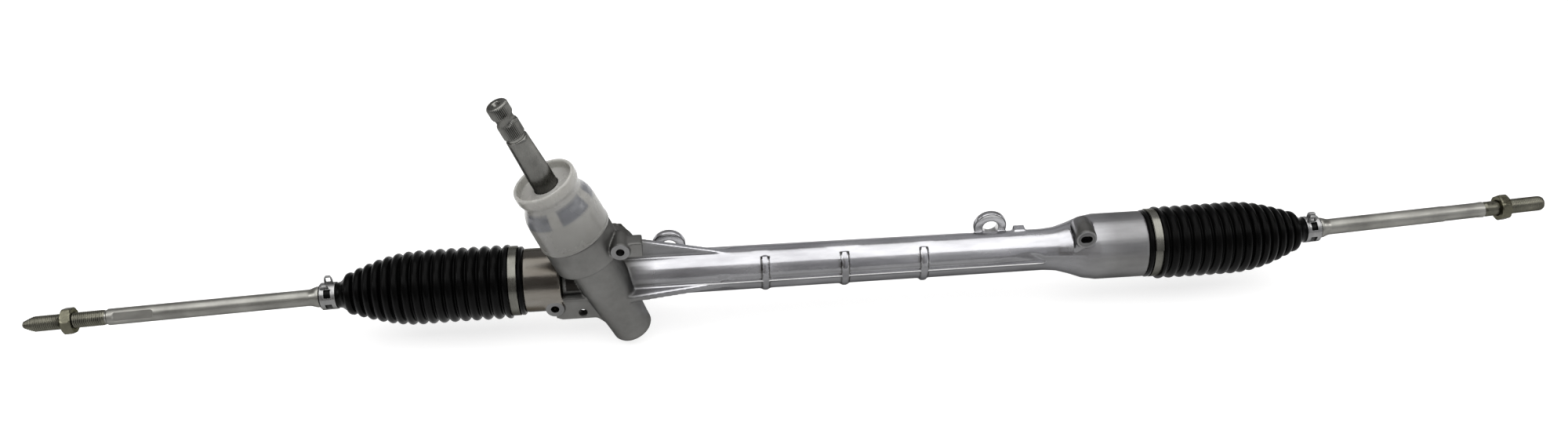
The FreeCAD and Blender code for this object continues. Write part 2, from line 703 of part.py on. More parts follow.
def pinion_bore():
    """Stepped bore for the pinion, its bearings, ring and seal."""
    return turned("pinion_bore", [
        ("tower_bottom - 1", "0"),
        ("tower_bottom - 1", "plug_radius"),
        ("needle_top - needle_length", "plug_radius"),
        ("needle_top - needle_length", "journal_radius + 2 * needle_radius + shell_wall + 0.2"),
        ("needle_top", "journal_radius + 2 * needle_radius + shell_wall + 0.2"),
        ("needle_top", "gear_chamber_radius"),
        ("pinion_face / 2 + 3", "gear_chamber_radius"),
        ("pinion_face / 2 + 3", "upper_chamber_radius"),
        ("bearing_seat", "upper_chamber_radius"),
        ("bearing_seat", "bearing_radius"),
        (BEARING_TOP, "bearing_radius"),
        (BEARING_TOP, "bearing_radius + ring_depth"),
        (RING_TOP, "bearing_radius + ring_depth"),
        (RING_TOP, "bearing_radius"),
        ("collar_top + 1", "bearing_radius"),
        ("collar_top + 1", "0"),
    ], pinion_frame())


def yoke_bore():
    return cylinder("yoke_bore", "yoke_radius", "yoke_boss_end + 1", vec(0, 0, 0), vec(0, 1, 0))


def boss_holes():
    """Holes through the ears, the bosses and the lug."""
    back = vec(0, 1, 0)
    holes = []
    for name in ("ear_left", "ear_right"):
        start = vec(size(name), size("ear_front") - size("bore_overrun"), size("ear_height"))
        holes.append(cylinder(name + "_hole", "ear_bore", "ear_back - ear_front + 2", start, back))
    holes.append(cylinder(
        "slot_boss_hole", "sleeve_radius", "slot_boss_back - slot_boss_front + 12",
        vec(size("slot_boss_x"), size("slot_boss_front") - 1, size("slot_boss_z")), back))
    face = vec(size("upper_boss_x"), size("upper_boss_front"), size("upper_boss_z"))
    holes.append(cylinder("upper_boss_hole", "boss_bore", "boss_depth + 5", face - back, back))
    holes.append(cylinder(
        "lower_boss_hole", "boss_bore", "blind_depth + 1",
        vec(size("lower_boss_x"), size("lower_boss_front") - 1, size("lower_boss_z")), back))
    holes.append(cylinder(
        "lug_hole", "boss_bore", "lug_thickness + 4",
        vec(size("lug_hole_x"), size("lug_front") - 2, size("lug_hole_z")), back))
    return holes


def rack_housing():
    """Die-cast housing: everything outside fused, then all bores cut."""
    outside = [tube_outside(), tower_outside(), yoke_outside(), slot_boss_foot(),
               parting_ridge(), top_pad()]
    outside += front_bosses() + webs() + front_ribs() + lower_lug()
    outside += ear("left_ear", "ear_left") + ear("right_ear", "ear_right")
    inside = [rack_bore(), pinion_bore(), yoke_bore()] + boss_holes()
    body = cut("housing", fuse("housing_outside", outside), fuse("housing_inside", inside))
    keep("rack_housing", body)


def slot_sleeve():
    """Steel sleeve with the slotted hole."""
    length = "slot_boss_back - slot_boss_front"
    start = vec(size("slot_boss_x"), size("slot_boss_front"), size("slot_boss_z"))
    shell = cylinder("sleeve_shell", "sleeve_radius", length, start, vec(0, 1, 0))
    half = (size("slot_length") - size("slot_width")) / 2
    low = start - vec(half, 1, size("slot_width") / 2)
    middle = box("sleeve_slot_middle", "slot_length - slot_width", length + " + 2", "slot_width", low)
    ends = [cylinder("sleeve_slot_end_%d" % i, "slot_width / 2", length + " + 2",
                     start + vec(offset, -1, 0), vec(0, 1, 0))
            for i, offset in enumerate((-half, half))]
    keep("slot_sleeve", cut("sleeve", shell, fuse("sleeve_slot", [middle] + ends)))


# Rack bar and bush

def rack_bar():
    """Round bar with teeth milled across its front and a threaded hole in each end."""
    body = doc.addObject("PartDesign::Body", "rack")
    outline = draw(body, "rack_outline", "XY_Plane", [
        (RACK_LEFT, "socket_stud_radius + stud_clearance"),
        (RACK_LEFT, "rack_radius - end_chamfer"),
        (RACK_LEFT + " + end_chamfer", "rack_radius"),
        (RACK_RIGHT + " - end_chamfer", "rack_radius"),
        (RACK_RIGHT, "rack_radius - end_chamfer"),
        (RACK_RIGHT, "socket_stud_radius + stud_clearance"),
        (RACK_RIGHT + " - end_hole_depth", "socket_stud_radius + stud_clearance"),
        (RACK_RIGHT + " - end_hole_depth - 3", "0"),
        (RACK_LEFT + " + end_hole_depth + 3", "0"),
        (RACK_LEFT + " + end_hole_depth", "socket_stud_radius + stud_clearance"),
    ])
    bar = body.newObject("PartDesign::Revolution", "rack_turned")
    bar.Profile = outline
    bar.ReferenceAxis = (outline, ["H_Axis"])
    bar.Angle = 360
    tip = "(reference_line + rack_addendum)"
    half = "(module_normal * pi * rack_teeth_gaps / 2)"
    land = draw(body, "rack_land", "XY_Plane", [
        ("-" + half, "-rack_radius - 1"),
        (half, "-rack_radius - 1"),
        (half, "-" + tip),
        ("-" + half, "-" + tip),
    ])
    flat = body.newObject("PartDesign::Pocket", "rack_flat")
    flat.Profile = land
    flat.setExpression("Length", bound("rack_radius * 3"))
    flat.Midplane = True
    first = "(-module_normal * pi * (rack_teeth_gaps - 1) / 2)"
    slope = "tan(pressure_angle * 1 deg)"
    root = "(module_normal * pi / 4 - rack_dedendum * %s)" % slope
    mouth = "(module_normal * pi / 4 + (rack_addendum + 1) * %s)" % slope
    gap = draw(body, "rack_gap", "XY_Plane", [
        ("%s - %s" % (first, root), "-reference_line + rack_dedendum"),
        ("%s + %s" % (first, root), "-reference_line + rack_dedendum"),
        ("%s + %s" % (first, mouth), "-reference_line - rack_addendum - 1"),
        ("%s - %s" % (first, mouth), "-reference_line - rack_addendum - 1"),
    ])
    groove = body.newObject("PartDesign::Pocket", "rack_first_gap")
    groove.Profile = gap
    groove.setExpression("Length", bound("rack_radius * 3"))
    groove.Midplane = True
    doc.recompute()
    row = body.newObject("PartDesign::LinearPattern", "rack_teeth")
    row.Originals = [groove]
    row.Direction = (gap, ["H_Axis"])
    row.Occurrences = int(size("rack_teeth_gaps"))
    row.setExpression("Length", bound("module_normal * pi * (rack_teeth_gaps - 1)"))
    body.Tip = row
    doc.recompute()
    keep("rack_bar", body)


def rack_bush():
    """Plastic bush that carries the right end of the rack, with its two rings."""
    groove = ["%s + %d" % (BUSH_LEFT, at) for at in (5, 14)]
    wide = "bush_ring_wire * 2 + 0.2"
    floor = "bush_radius - bush_ring_wire * 2"
    points = [(BUSH_LEFT, "rack_radius + bush_clearance"), (BUSH_LEFT, "bush_radius")]
    for at in groove:
        points += [(at, "bush_radius"), (at, floor),
                   ("%s + %s" % (at, wide), floor), ("%s + %s" % (at, wide), "bush_radius")]
    points += [
        (STOP_RIGHT + " - bush_flange", "bush_radius"),
        (STOP_RIGHT + " - bush_flange", "counterbore_radius"),
        (STOP_RIGHT, "counterbore_radius"),
        (STOP_RIGHT, "rack_radius + bush_clearance"),
    ]
    keep("rack_bush", turned("bush", points))
    middle = size("ball_right") - size("socket_reach") - size("washer_thickness") - size("travel")
    first = middle - size("bush_length") + 5 + size("bush_ring_wire") + 0.1
    rings = [hoop("bush_ring_%d" % i, "bush_radius - bush_ring_wire", "bush_ring_wire",
                  frame(vec(first + 9 * i, 0, 0))) for i in range(2)]
    keep("bush_rings", group("bush_ring_pair", rings))


# Pinion

def pinion_outline(rotation):
    """Transverse outline of the pinion teeth, turned by a rotation in radians."""
    teeth = int(size("pinion_teeth"))
    lean = radians(size("crossing_angle"))
    pitch = pitch_radius()
    pressure = atan(tan(radians(size("pressure_angle"))) / cos(lean))
    base = pitch * cos(pressure)
    tip, root = size("pinion_tip_radius"), size("pinion_root_radius")
    widened = 2 * size("profile_shift") * tan(radians(size("pressure_angle")))
    thickness = (size("module_normal") * pi / 2 + widened - size("backlash")) / cos(lean)
    half = thickness / (2 * pitch) + tan(pressure) - pressure

    def flank(radius):
        """Half angle of a tooth at a radius on the involute."""
        slope = acos(min(1.0, base / radius))
        return half - (tan(slope) - slope)

    def spot(radius, angle):
        return vec(radius * cos(angle + rotation), radius * sin(angle + rotation))

    steps = [base + (tip - base) * (i / 5.0) ** 1.5 for i in range(6)]
    edges = []
    for tooth in range(teeth):
        centre = pi / 2 + 2 * pi * tooth / teeth
        right = [spot(r, centre - flank(r)) for r in steps]
        left = [spot(r, centre + flank(r)) for r in reversed(steps)]
        root_right = spot(root, centre - half)
        root_left = spot(root, centre + half)
        root_next = spot(root, centre + 2 * pi / teeth - half)
        valley = spot(root, centre + pi / teeth)
        curve_right, curve_left = Part.BSplineCurve(), Part.BSplineCurve()
        curve_right.interpolate(right)
        curve_left.interpolate(left)
        edges += [
            Part.makeLine(root_right, right[0]),
            curve_right.toShape(),
            Part.Arc(right[-1], spot(tip, centre), left[0]).toShape(),
            curve_left.toShape(),
            Part.makeLine(left[-1], root_left),
            Part.Arc(root_left, valley, root_next).toShape(),
        ]
    return Part.Wire(edges)


def pinion_teeth():
    """Helical teeth: the outline swept along a left-hand helix."""
    face = size("pinion_face")
    lead = 2 * pi * pitch_radius() / tan(radians(size("crossing_angle")))
    start = 2 * pi * (face / 2) / lead
    outline = pinion_outline(start)
    outline.translate(vec(0, 0, -face / 2))
    helix = Part.makeHelix(lead, face, pitch_radius(), 0, True)
    helix.translate(vec(0, 0, -face / 2))
    sweep = Part.BRepOffsetAPI.MakePipeShell(Part.Wire(helix.Edges))
    sweep.setFrenetMode(True)
    sweep.add(outline, False, False)
    sweep.build()
    sweep.makeSolid()
    return sweep.shape()


def pinion_shaft():
    """Pinion and input shaft in one, serrated and grooved at the top."""
    neck = "shaft_tip - spline_neck_height"
    blank = turned("pinion_blank", [
        ("journal_end", "0"),
        ("journal_end", "journal_radius - 0.6"),
        ("journal_end + 0.6", "journal_radius"),
        ("pinion_face / 2 + 2", "journal_radius"),
        ("pinion_face / 2 + 5", "bearing_bore - 1.6"),
        ("bearing_seat - 4", "bearing_bore - 1.6"),
        ("bearing_seat - 4", "shaft_collar_radius"),
        ("bearing_seat", "shaft_collar_radius"),
        ("bearing_seat", "bearing_bore"),
        (BEARING_TOP, "bearing_bore"),
        (BEARING_TOP + " + 0.8", "shaft_radius"),
        ("tower_top + cover_height + 6", "shaft_radius"),
        ("shaft_tip - spline_length - 3", "shaft_top_radius"),
        ("shaft_tip - spline_length - 2.4", "shaft_top_radius - 0.9"),
        ("shaft_tip - spline_length", "shaft_top_radius - 0.9"),
        ("shaft_tip - spline_length + 0.6", "spline_radius"),
        (neck + " - 3.4", "spline_radius"),
        (neck + " - 1.6", "spline_neck_radius"),
        (neck + " + 1.6", "spline_neck_radius"),
        (neck + " + 3.4", "spline_radius"),
        ("shaft_tip - 1.6", "spline_radius"),
        ("shaft_tip", "spline_radius - 1.6"),
        ("shaft_tip", "centre_hole_radius"),
        ("shaft_tip - 6", "centre_hole_radius"),
        ("shaft_tip - 7.5", "0"),
    ], pinion_frame())
    teeth = fixed("pinion_teeth", pinion_teeth())
    teeth.Placement = pinion_upright()
    keep("pinion_shaft", fuse("pinion", [blank, teeth]))


def ball_bearing():
    """Inner race, outer race and balls of the upper bearing."""
    track = "(bearing_bore + inner_race_wall + bearing_radius - outer_race_wall) / 2"
    middle = size("bearing_seat") + size("bearing_width") / 2
    centre = pinion_frame().multiply(frame(vec(middle, 0, 0)))
    walls = {
        "bearing_inner_race": ("bearing_bore", "bearing_bore + inner_race_wall"),
        "bearing_outer_race": ("bearing_radius - outer_race_wall", "bearing_radius"),
    }
    for name, (inner, outer) in walls.items():
        ring = turned(name + "_ring", [
            ("bearing_seat", inner), ("bearing_seat", outer),
            (BEARING_TOP, outer), (BEARING_TOP, inner),
        ], pinion_frame())
        groove = hoop(name + "_groove", track, "ball_radius + race_clearance", centre)
        keep(name, cut(name + "_grooved", ring, groove))
    count = int(size("ball_count"))
    radius = (size("bearing_bore") + size("inner_race_wall")
              + size("bearing_radius") - size("outer_race_wall")) / 2
    balls = []
    for i in range(count):
        angle = 2 * pi * i / count
        spot = pinion_frame().multVec(vec(middle, radius * cos(angle), radius * sin(angle)))
        balls.append(ball("bearing_ball_%d" % i, "ball_radius", frame(spot)))
    keep("bearing_balls", group("ball_set", balls))


def needle_bearing():
    """Drawn shell and needles round the lower journal."""
    inner = "journal_radius + 2 * needle_radius + 2 * needle_clearance"
    outer = "journal_radius + 2 * needle_radius + shell_wall + 0.2"
    lip = "journal_radius + 0.4"
    foot = "needle_top - needle_length"
    keep("needle_shell", turned("needle_cup", [
        (foot, lip), (foot, outer), ("needle_top", outer), ("needle_top", lip),
        ("needle_top - 0.8", lip), ("needle_top - 0.8", inner),
        (foot + " + 0.8", inner), (foot + " + 0.8", lip),
    ], pinion_frame()))
    count = int(size("needle_count"))
    radius = size("journal_radius") + size("needle_radius") + size("needle_clearance")
    needles = []
    for i in range(count):
        angle = 2 * pi * i / count
        start = pinion_upright().multVec(vec(
            radius * cos(angle), radius * sin(angle),
            size("needle_top") - size("needle_length") + 0.85))
        up = pinion_upright().Rotation.multVec(vec(0, 0, 1))
        needles.append(cylinder("needle_%d" % i, "needle_radius", "needle_length - 1.7", start, up))
    keep("needle_rollers", group("needle_set", needles))


def retaining_ring():
    """Open spring ring over the bearing."""
    ring = turned("ring_full", [
        (BEARING_TOP, "bearing_radius + ring_depth - ring_width"),
        (BEARING_TOP, "bearing_radius + ring_depth"),
        (RING_TOP, "bearing_radius + ring_depth"),
        (RING_TOP, "bearing_radius + ring_depth - ring_width"),
    ], pinion_frame())
    gap = box("ring_opening", "ring_gap", "bearing_radius * 2", "ring_thickness * 4", vec())
    height = size("bearing_seat") + size("bearing_width") - size("ring_thickness")
    gap.Placement = pinion_upright().multiply(
        frame(vec(-size("ring_gap") / 2, -2 * size("bearing_radius"), height)))
    keep("retaining_ring", cut("ring", ring, gap))


def pinion_seal():
    """Rubber lip seal under the dust cover."""
    top = SEAL_FOOT + " + seal_height"
    inner = "shaft_radius + seal_lip_clearance"
    keep("pinion_seal", turned("seal", [
        (SEAL_FOOT, "bearing_radius - 2.2"), (SEAL_FOOT, "bearing_radius"),
        (top, "bearing_radius"), (top, inner + " + 2.4"),
        (top + " - 1.6", inner), (top + " - 2.8", inner),
        (top + " - 3.6", inner + " + 2"), (top + " - 1.8", "bearing_radius - 2.2"),
    ], pinion_frame()))


def bottom_plug():
    """Dished plug that closes the tower below the needles."""
    keep("bottom_plug", turned("plug", [
        ("tower_bottom + 2", "0"), ("tower_bottom + 2", "plug_radius - 3"),
        ("tower_bottom + 0.6", "plug_radius - 1"), ("tower_bottom + 0.6", "plug_radius"),
        ("tower_bottom + 0.6 + plug_thickness", "plug_radius"),
        ("tower_bottom + 2 + plug_thickness", "plug_radius - 3"),
        ("tower_bottom + 2 + plug_thickness", "0"),
    ], pinion_frame()))


def cover_level(share):
    """Height at a share of the dust cover's height."""
    return "tower_top + cover_height * %s" % share


def cover_shoulder(inset):
    """Curve from the skirt in to the waist, moved inwards by an inset."""
    # Shares of the cover's height, each with its share of the way in to the waist
    curve = [(0.41, 0), (0.51, 0.11), (0.59, 0.39), (0.66, 0.83), (0.725, 1)]
    radius = "cover_skirt_radius - (cover_skirt_radius - cover_waist_radius) * %s - %s"
    return [(cover_level(share), radius % (way, inset)) for share, way in curve]


def cover_windows():
    """Pockets that leave only a thin skin over the shoulder."""
    upper = cover_level(0.74)
    band = cover_shoulder("window_skin")[1:]
    ring = turned("window_ring", [(band[0][0], "0")] + band + [
        (upper, "cover_waist_radius - window_skin"),
        (upper, "0"),
    ], pinion_frame())
    count = int(size("cover_windows"))
    start = size("cover_waist_radius") - 2 * size("cover_wall")
    sill = size("tower_top") + size("cover_height") * 0.45
    wedges = []
    for i in range(count):
        wedge = box("cover_window_%d" % i, "window_width", "cover_rim_radius",
                    "cover_height * 0.4", vec())
        angle = 360.0 * (i + 0.5) / count + size("window_turn")
        low = frame(vec(-size("window_width") / 2, start, sill))
        wedge.Placement = pinion_upright().multiply(
            frame(rotation=turn(vec(0, 0, 1), angle))).multiply(low)
        wedges.append(wedge)
    return common("window_pockets", ring, fuse("window_wedges", wedges))


def dust_cover():
    """Milky plastic cover with a cup round the shaft and thin windows in its shoulder."""
    top = "(tower_top + cover_height)"
    floor = "(tower_top + cover_height - cup_depth)"
    shell = turned("cover_shell", [
        ("tower_top", "collar_radius + 0.05"),
        ("tower_top", "cover_rim_radius"),
        (cover_level(0.05), "cover_rim_radius"),
    ] + cover_shoulder("0") + [
        (cover_level(0.79), "cover_waist_radius"),
        (cover_level(0.87), "cover_top_radius"),
        (top + " - cover_edge", "cover_top_radius"),
        (top, "cover_top_radius - cover_edge"),
        (top, "cover_top_radius - cover_wall"),
        (floor, "cover_top_radius - cover_wall - cup_draft"),
        (floor, "shaft_radius + cover_shaft_clearance"),
        (floor + " - cover_wall", "shaft_radius + cover_shaft_clearance"),
        (floor + " - cover_wall", "cover_waist_radius - cover_wall"),
    ] + cover_shoulder("cover_wall")[::-1] + [
        (cover_level(0.235), "collar_radius + 0.05"),
    ], pinion_frame())
    keep("dust_cover", cut("cover", shell, cover_windows()))


# Yoke

def yoke_set():
    """Yoke, liner, ring, spring, adjuster plug and its lock nut behind the rack."""
    reach = "rack_radius + liner_clearance + liner_wall"
    inner = "yoke_radius - yoke_clearance"
    groove = "yoke_back - 8"
    slug = turned("yoke_slug", [
        ("yoke_front", "0"), ("yoke_front", inner),
        (groove, inner), (groove, inner + " - yoke_ring_wire * 2 - 0.05"),
        (groove + " + yoke_ring_wire * 2.2", inner + " - yoke_ring_wire * 2 - 0.05"),
        (groove + " + yoke_ring_wire * 2.2", inner),
        ("yoke_back", inner), ("yoke_back", "spring_radius + spring_wire + 0.6"),
        ("spring_seat", "spring_radius + spring_wire + 0.6"), ("spring_seat", "0"),
    ], yoke_frame())
    saddle = cylinder("yoke_saddle", reach, "yoke_radius * 2 + 2",
                      vec(-size("yoke_radius") - 1, 0, 0), vec(1, 0, 0))
    keep("rack_yoke", cut("yoke", slug, saddle))
    liner_outer = cylinder("liner_outer", reach, "yoke_radius * 1.6",
                           vec(-size("yoke_radius") * 0.8, 0, 0), vec(1, 0, 0))
    liner_inner = cylinder("liner_inner", "rack_radius + liner_clearance", "yoke_radius * 2",
                           vec(-size("yoke_radius"), 0, 0), vec(1, 0, 0))
    behind = box("liner_behind", "yoke_radius * 2", "yoke_radius", "yoke_radius * 1.2",
                 vec(-size("yoke_radius"), size("yoke_front") + 2, -size("yoke_radius") * 0.6))
    arc = common("liner_arc", cut("liner_pipe", liner_outer, liner_inner), behind)
    keep("yoke_liner", arc)
    middle = size("yoke_back") - 8 + 1.1 * size("yoke_ring_wire")
    ring = hoop("yoke_ring_hoop", inner + " - yoke_ring_wire", "yoke_ring_wire",
                yoke_frame().multiply(frame(vec(middle, 0, 0))))
    keep("yoke_ring", group("yoke_ring_single", [ring]))
    coil = fixed("spring", spring_shape())
    front = vec(0, size("spring_seat") + size("spring_wire"), 0)
    keep("yoke_spring", coil, frame(front, turn(vec(1, 0, 0), -90)))
    keep_plug()


def spring_shape():
    """Coil spring that fits between the yoke and the adjuster plug, along Z."""
    wire = size("spring_wire")
    length = size("yoke_plug_front") - size("spring_seat") - 2 * wire
    helix = Part.makeHelix(length / size("spring_turns"), length, size("spring_radius"))
    section = Part.Wire(Part.makeCircle(wire, vec(size("spring_radius"), 0, 0), vec(0, 1, 0)))
    return Part.Wire(helix.Edges).makePipeShell([section], True, True)


def hexagon(name, flats, length, position, direction):
    """Hexagonal prism."""
    made = doc.addObject("Part::Prism", name)
    made.Polygon = 6
    made.setExpression("Circumradius", bound("(%s) / 2 / cos(30 deg)" % flats))
    made.setExpression("Height", bound(length))
    made.Placement = frame(position, FreeCAD.Rotation(vec(0, 0, 1), direction))
    return made


def keep_plug():
    """Threaded adjuster plug with a hexagon socket, and the nut that locks it."""
    back = vec(0, 1, 0)
    body = turned("yoke_plug_body", [
        ("yoke_plug_front", "0"), ("yoke_plug_front", "yoke_radius - 0.9"),
        ("yoke_plug_front + 0.8", "yoke_radius - 0.05"),
        ("yoke_plug_end - 0.8", "yoke_radius - 0.05"),
        ("yoke_plug_end", "yoke_radius - 0.9"), ("yoke_plug_end", "0"),
    ], yoke_frame())
    socket = hexagon("yoke_plug_socket", "yoke_socket_flats", "8",
                     vec(0, size("yoke_plug_end") - 7, 0), back)
    keep("yoke_plug", cut("yoke_plug_cut", body, socket))
    outer = hexagon("yoke_nut_hexagon", "yoke_nut_flats", "yoke_nut_thickness",
                    vec(0, size("yoke_boss_end") + 0.05, 0), back)
    hole = cylinder("yoke_nut_hole", "yoke_radius", "yoke_nut_thickness + 2",
                    vec(0, size("yoke_boss_end") - 1, 0), back)
    keep("yoke_lock_nut", cut("yoke_nut", outer, hole))


# Ball sockets, seats and tie rods

def socket(side):
    """Socket that screws into the rack end and holds the tie rod's ball."""
    body = turned("socket_body_" + side, [
        ("-socket_reach - washer_thickness - socket_stud_length", "0"),
        ("-socket_reach - washer_thickness - socket_stud_length", "socket_stud_radius - 1"),
        ("-socket_reach - washer_thickness - socket_stud_length + 1", "socket_stud_radius"),
        ("-socket_reach", "socket_stud_radius"),
        ("-socket_reach", "socket_radius - 1.4"),
        ("-socket_reach + 6", "socket_radius - 0.6"),
        ("-socket_reach + 9", "socket_radius"),
        ("socket_mouth - 6", "socket_radius"),
        ("socket_mouth - 1.5", "socket_radius - 1.4"),
        ("socket_mouth", "mouth_flare + 1"),
        ("socket_mouth", "0"),
    ], socket_frame(side))
    cavity = ball("socket_cavity_" + side, "rod_ball_radius + seat_wall + joint_clearance * 2",
                  socket_frame(side))
    mouth = turned("socket_opening_" + side, [
        ("4", "0"), ("4", "mouth_radius - 1"),
        ("7.2", "mouth_radius"), ("socket_mouth + 1", "mouth_flare + 0.6"), ("socket_mouth + 1", "0"),
    ], socket_frame(side))
    flats = []
    for sign in (-1, 1):
        low = size("socket_flats") / 2 if sign > 0 else -size("socket_flats") / 2 - 8
        flats.append(box("socket_flat_%s_%d" % (side, sign + 1), "7", "40", "8", vec()))
        flats[-1].Placement = socket_frame(side).multiply(
            frame(vec(-size("socket_reach") - 0.5, -20, low)))
    tool = fuse("socket_tool_" + side, [cavity, mouth] + flats)
    keep("ball_socket_" + side, cut("socket_" + side, body, tool))


def lock_washer(side):
    """Washer between the rack end and the socket."""
    keep("lock_washer_" + side, turned("washer_" + side, [
        ("-socket_reach - washer_thickness", "socket_stud_radius + 0.05"),
        ("-socket_reach - washer_thickness", "washer_radius"),
        ("-socket_reach", "washer_radius"),
        ("-socket_reach", "socket_stud_radius + 0.05"),
    ], socket_frame(side)))


def ball_seat(side):
    """Plastic seat between ball and socket."""
    place = rod_frame(side)
    shell = ball("seat_outer_" + side, "rod_ball_radius + seat_wall + joint_clearance", place)
    inside = ball("seat_inner_" + side, "rod_ball_radius + joint_clearance", place)
    front = box("seat_front_" + side, "30", "60", "60", vec())
    front.Placement = place.multiply(frame(vec(size("seat_mouth"), -30, -30)))
    keep("ball_seat_" + side, cut("seat_" + side, shell, fuse("seat_tool_" + side, [inside, front])))


def tie_rod(side):
    """Rod with its ball, boot seat, wrench flats and threaded end."""
    thread, tip, flats = "thread_" + side, "tip_" + side, "flats_" + side
    cuff = "cuff_length / 2"
    body = turned("rod_body_" + side, [
        ("sqrt(rod_ball_radius ^ 2 - rod_neck_radius ^ 2) - 1", "0"),
        ("sqrt(rod_ball_radius ^ 2 - rod_neck_radius ^ 2) - 1", "rod_neck_radius"),
        ("rod_ball_radius + rod_neck_length", "rod_neck_radius"),
        ("rod_ball_radius + rod_neck_length + rod_neck_ramp", "rod_radius"),
        ("cuff_distance - %s - collar_length - collar_ramp" % cuff, "rod_radius"),
        ("cuff_distance - %s - collar_length" % cuff, "rod_swell_radius + collar_rise"),
        ("cuff_distance - %s - collar_edge" % cuff, "rod_swell_radius + collar_rise"),
        ("cuff_distance - %s" % cuff, "rod_swell_radius"),
        ("cuff_distance + %s" % cuff, "rod_swell_radius"),
        ("cuff_distance + %s + collar_edge" % cuff, "rod_swell_radius + collar_rise"),
        ("cuff_distance + %s + collar_length" % cuff, "rod_swell_radius + collar_rise"),
        ("cuff_distance + %s + collar_length + collar_ramp" % cuff, "rod_radius"),
        (thread + " - thread_lead", "rod_radius"),
        (thread, "thread_radius - thread_run_out"),
        (thread + " + thread_lead", "thread_radius - thread_relief"),
        ("nut_%s + nut_thickness + thread_room" % side, "thread_radius - thread_relief"),
        ("nut_%s + nut_thickness + thread_room" % side, "thread_radius"),
        (tip + " - tip_taper_" + side, "thread_radius"),
        (tip + " - tip_taper_%s * 0.6" % side, "(thread_radius * 3 + tip_radius_%s) / 4" % side),
        (tip, "tip_radius_" + side),
        (tip, "0"),
    ], rod_frame(side))
    head = ball("rod_ball_" + side, "rod_ball_radius", rod_frame(side))
    blank = fuse("rod_blank_" + side, [body, head])
    tools = []
    for sign in (-1, 1):
        depth, width = size("flats_cut_depth"), size("flats_cut_width")
        low = size("rod_flats") / 2 if sign > 0 else -size("rod_flats") / 2 - depth
        side_cut = box("rod_flat_%s_%d" % (side, sign + 1), "flats_length", "flats_cut_depth",
                       "flats_cut_width", vec())
        tilt = frame(rotation=turn(vec(1, 0, 0), size("flats_tilt")))
        side_cut.Placement = rod_frame(side).multiply(tilt).multiply(
            frame(vec(size(flats), low, -width / 2)))
        tools.append(side_cut)
    keep("tie_rod_" + side, cut("rod_" + side, blank, fuse("rod_flats_" + side, tools)))


def lock_nut(side):
    """Hexagon nut with rounded corners on the rod's thread."""
    place = rod_frame(side)
    out = place.Rotation.multVec(vec(1, 0, 0))
    start = place.multVec(vec(size("nut_" + side), 0, 0))
    block = hexagon("nut_block_" + side, "nut_flats", "nut_thickness", start, out)
    near = "nut_" + side
    far = "(nut_%s + nut_thickness)" % side
    corner = "(nut_flats / 2 / cos(30 deg))"
    inner = "thread_radius - thread_relief + nut_clearance"
    round_off = turned("nut_round_" + side, [
        (near, inner + " + 0.6"), (near, "nut_flats / 2 - 0.4"), (near + " + 1", corner + " + 0.1"),
        (far + " - 1", corner + " + 0.1"), (far, "nut_flats / 2 - 0.4"), (far, inner + " + 0.6"),
        (far + " - 0.6", inner), (near + " + 0.6", inner),
    ], place)
    keep("lock_nut_" + side, common("nut_" + side, block, round_off))


# Bellows and clamps

def boot_line(side):
    """Large end point, small end frame and outward sign of one boot."""
    if side == "left":
        return vec(size("lip_left"), 0, 0), -1.0
    return vec(size("lip_right"), 0, 0), 1.0


def boot_stations(side):
    """Centre, direction and outer radius of each ring from the large end to the small end."""
    lip, sign = boot_line(side)
    along = vec(sign, 0, 0)
    rod = rod_frame(side)
    out = rod.Rotation.multVec(vec(1, 0, 0))
    cuff_start = rod.multVec(vec(size("cuff_distance") - size("cuff_length") / 2, 0, 0))
    cuff_end = rod.multVec(vec(size("cuff_distance") + size("cuff_length") / 2, 0, 0))
    large_length = abs(size("housing_left") - size("lip_left")) - 2.0
    big = size("boot_seat_radius") + size("large_cuff_wall")
    folds = int(size("fold_count"))
    growing = size("growing_folds")
    first = lip + along * large_length
    span = cuff_start - first

    def centre(share):
        """Point on the boot's axis, straight at the housing and bent towards the rod."""
        reach = first + along * (span.dot(along) * share)
        return reach + (span - along * span.dot(along)) * share ** 2

    def heading(share):
        return (centre(share + 0.01) - centre(share - 0.01)).normalize()

    rings = [(lip, along, big), (first, along, big)]
    weights = [size("fold_ratio") + (1 - size("fold_ratio")) * i / (folds - 1) for i in range(folds)]
    total = sum(weights)
    place = 0.0
    for i, weight in enumerate(weights):
        left = folds - i
        shrink = min(1.0, (left - 1) / growing)
        small, large = size("crest_small_radius"), size("crest_radius")
        crest = small + (large - small) * sin(shrink * pi / 2)
        middle = (place + weight * 0.5) / total
        rings.append((centre(middle), heading(middle), crest))
        place += weight
        if left > 1:
            rings.append((centre(place / total), heading(place / total), crest - size("fold_depth")))
    thin = size("rod_swell_radius") + size("cuff_clearance") + size("small_cuff_wall")
    rings += [(cuff_start, out, thin), (cuff_end, out, thin)]
    return rings


def boot(side):
    """Rubber bellows from the housing to the tie rod, with an even wall."""
    rings = boot_stations(side)

    def loft(change):
        wires = []
        for i, (centre, heading, radius) in enumerate(rings):
            wires.append(Part.Wire(Part.makeCircle(change(i, radius), centre, heading)))
        return Part.makeLoft(wires, True, True)

    def inner(i, radius):
        if i < 2:
            return size("boot_seat_radius") + 0.02
        if i >= len(rings) - 2:
            return size("rod_swell_radius") + size("cuff_clearance")
        return radius - size("boot_wall")

    hollow = loft(lambda i, radius: radius).cut(loft(inner))
    keep("boot_" + side, fixed("bellows_" + side, hollow))


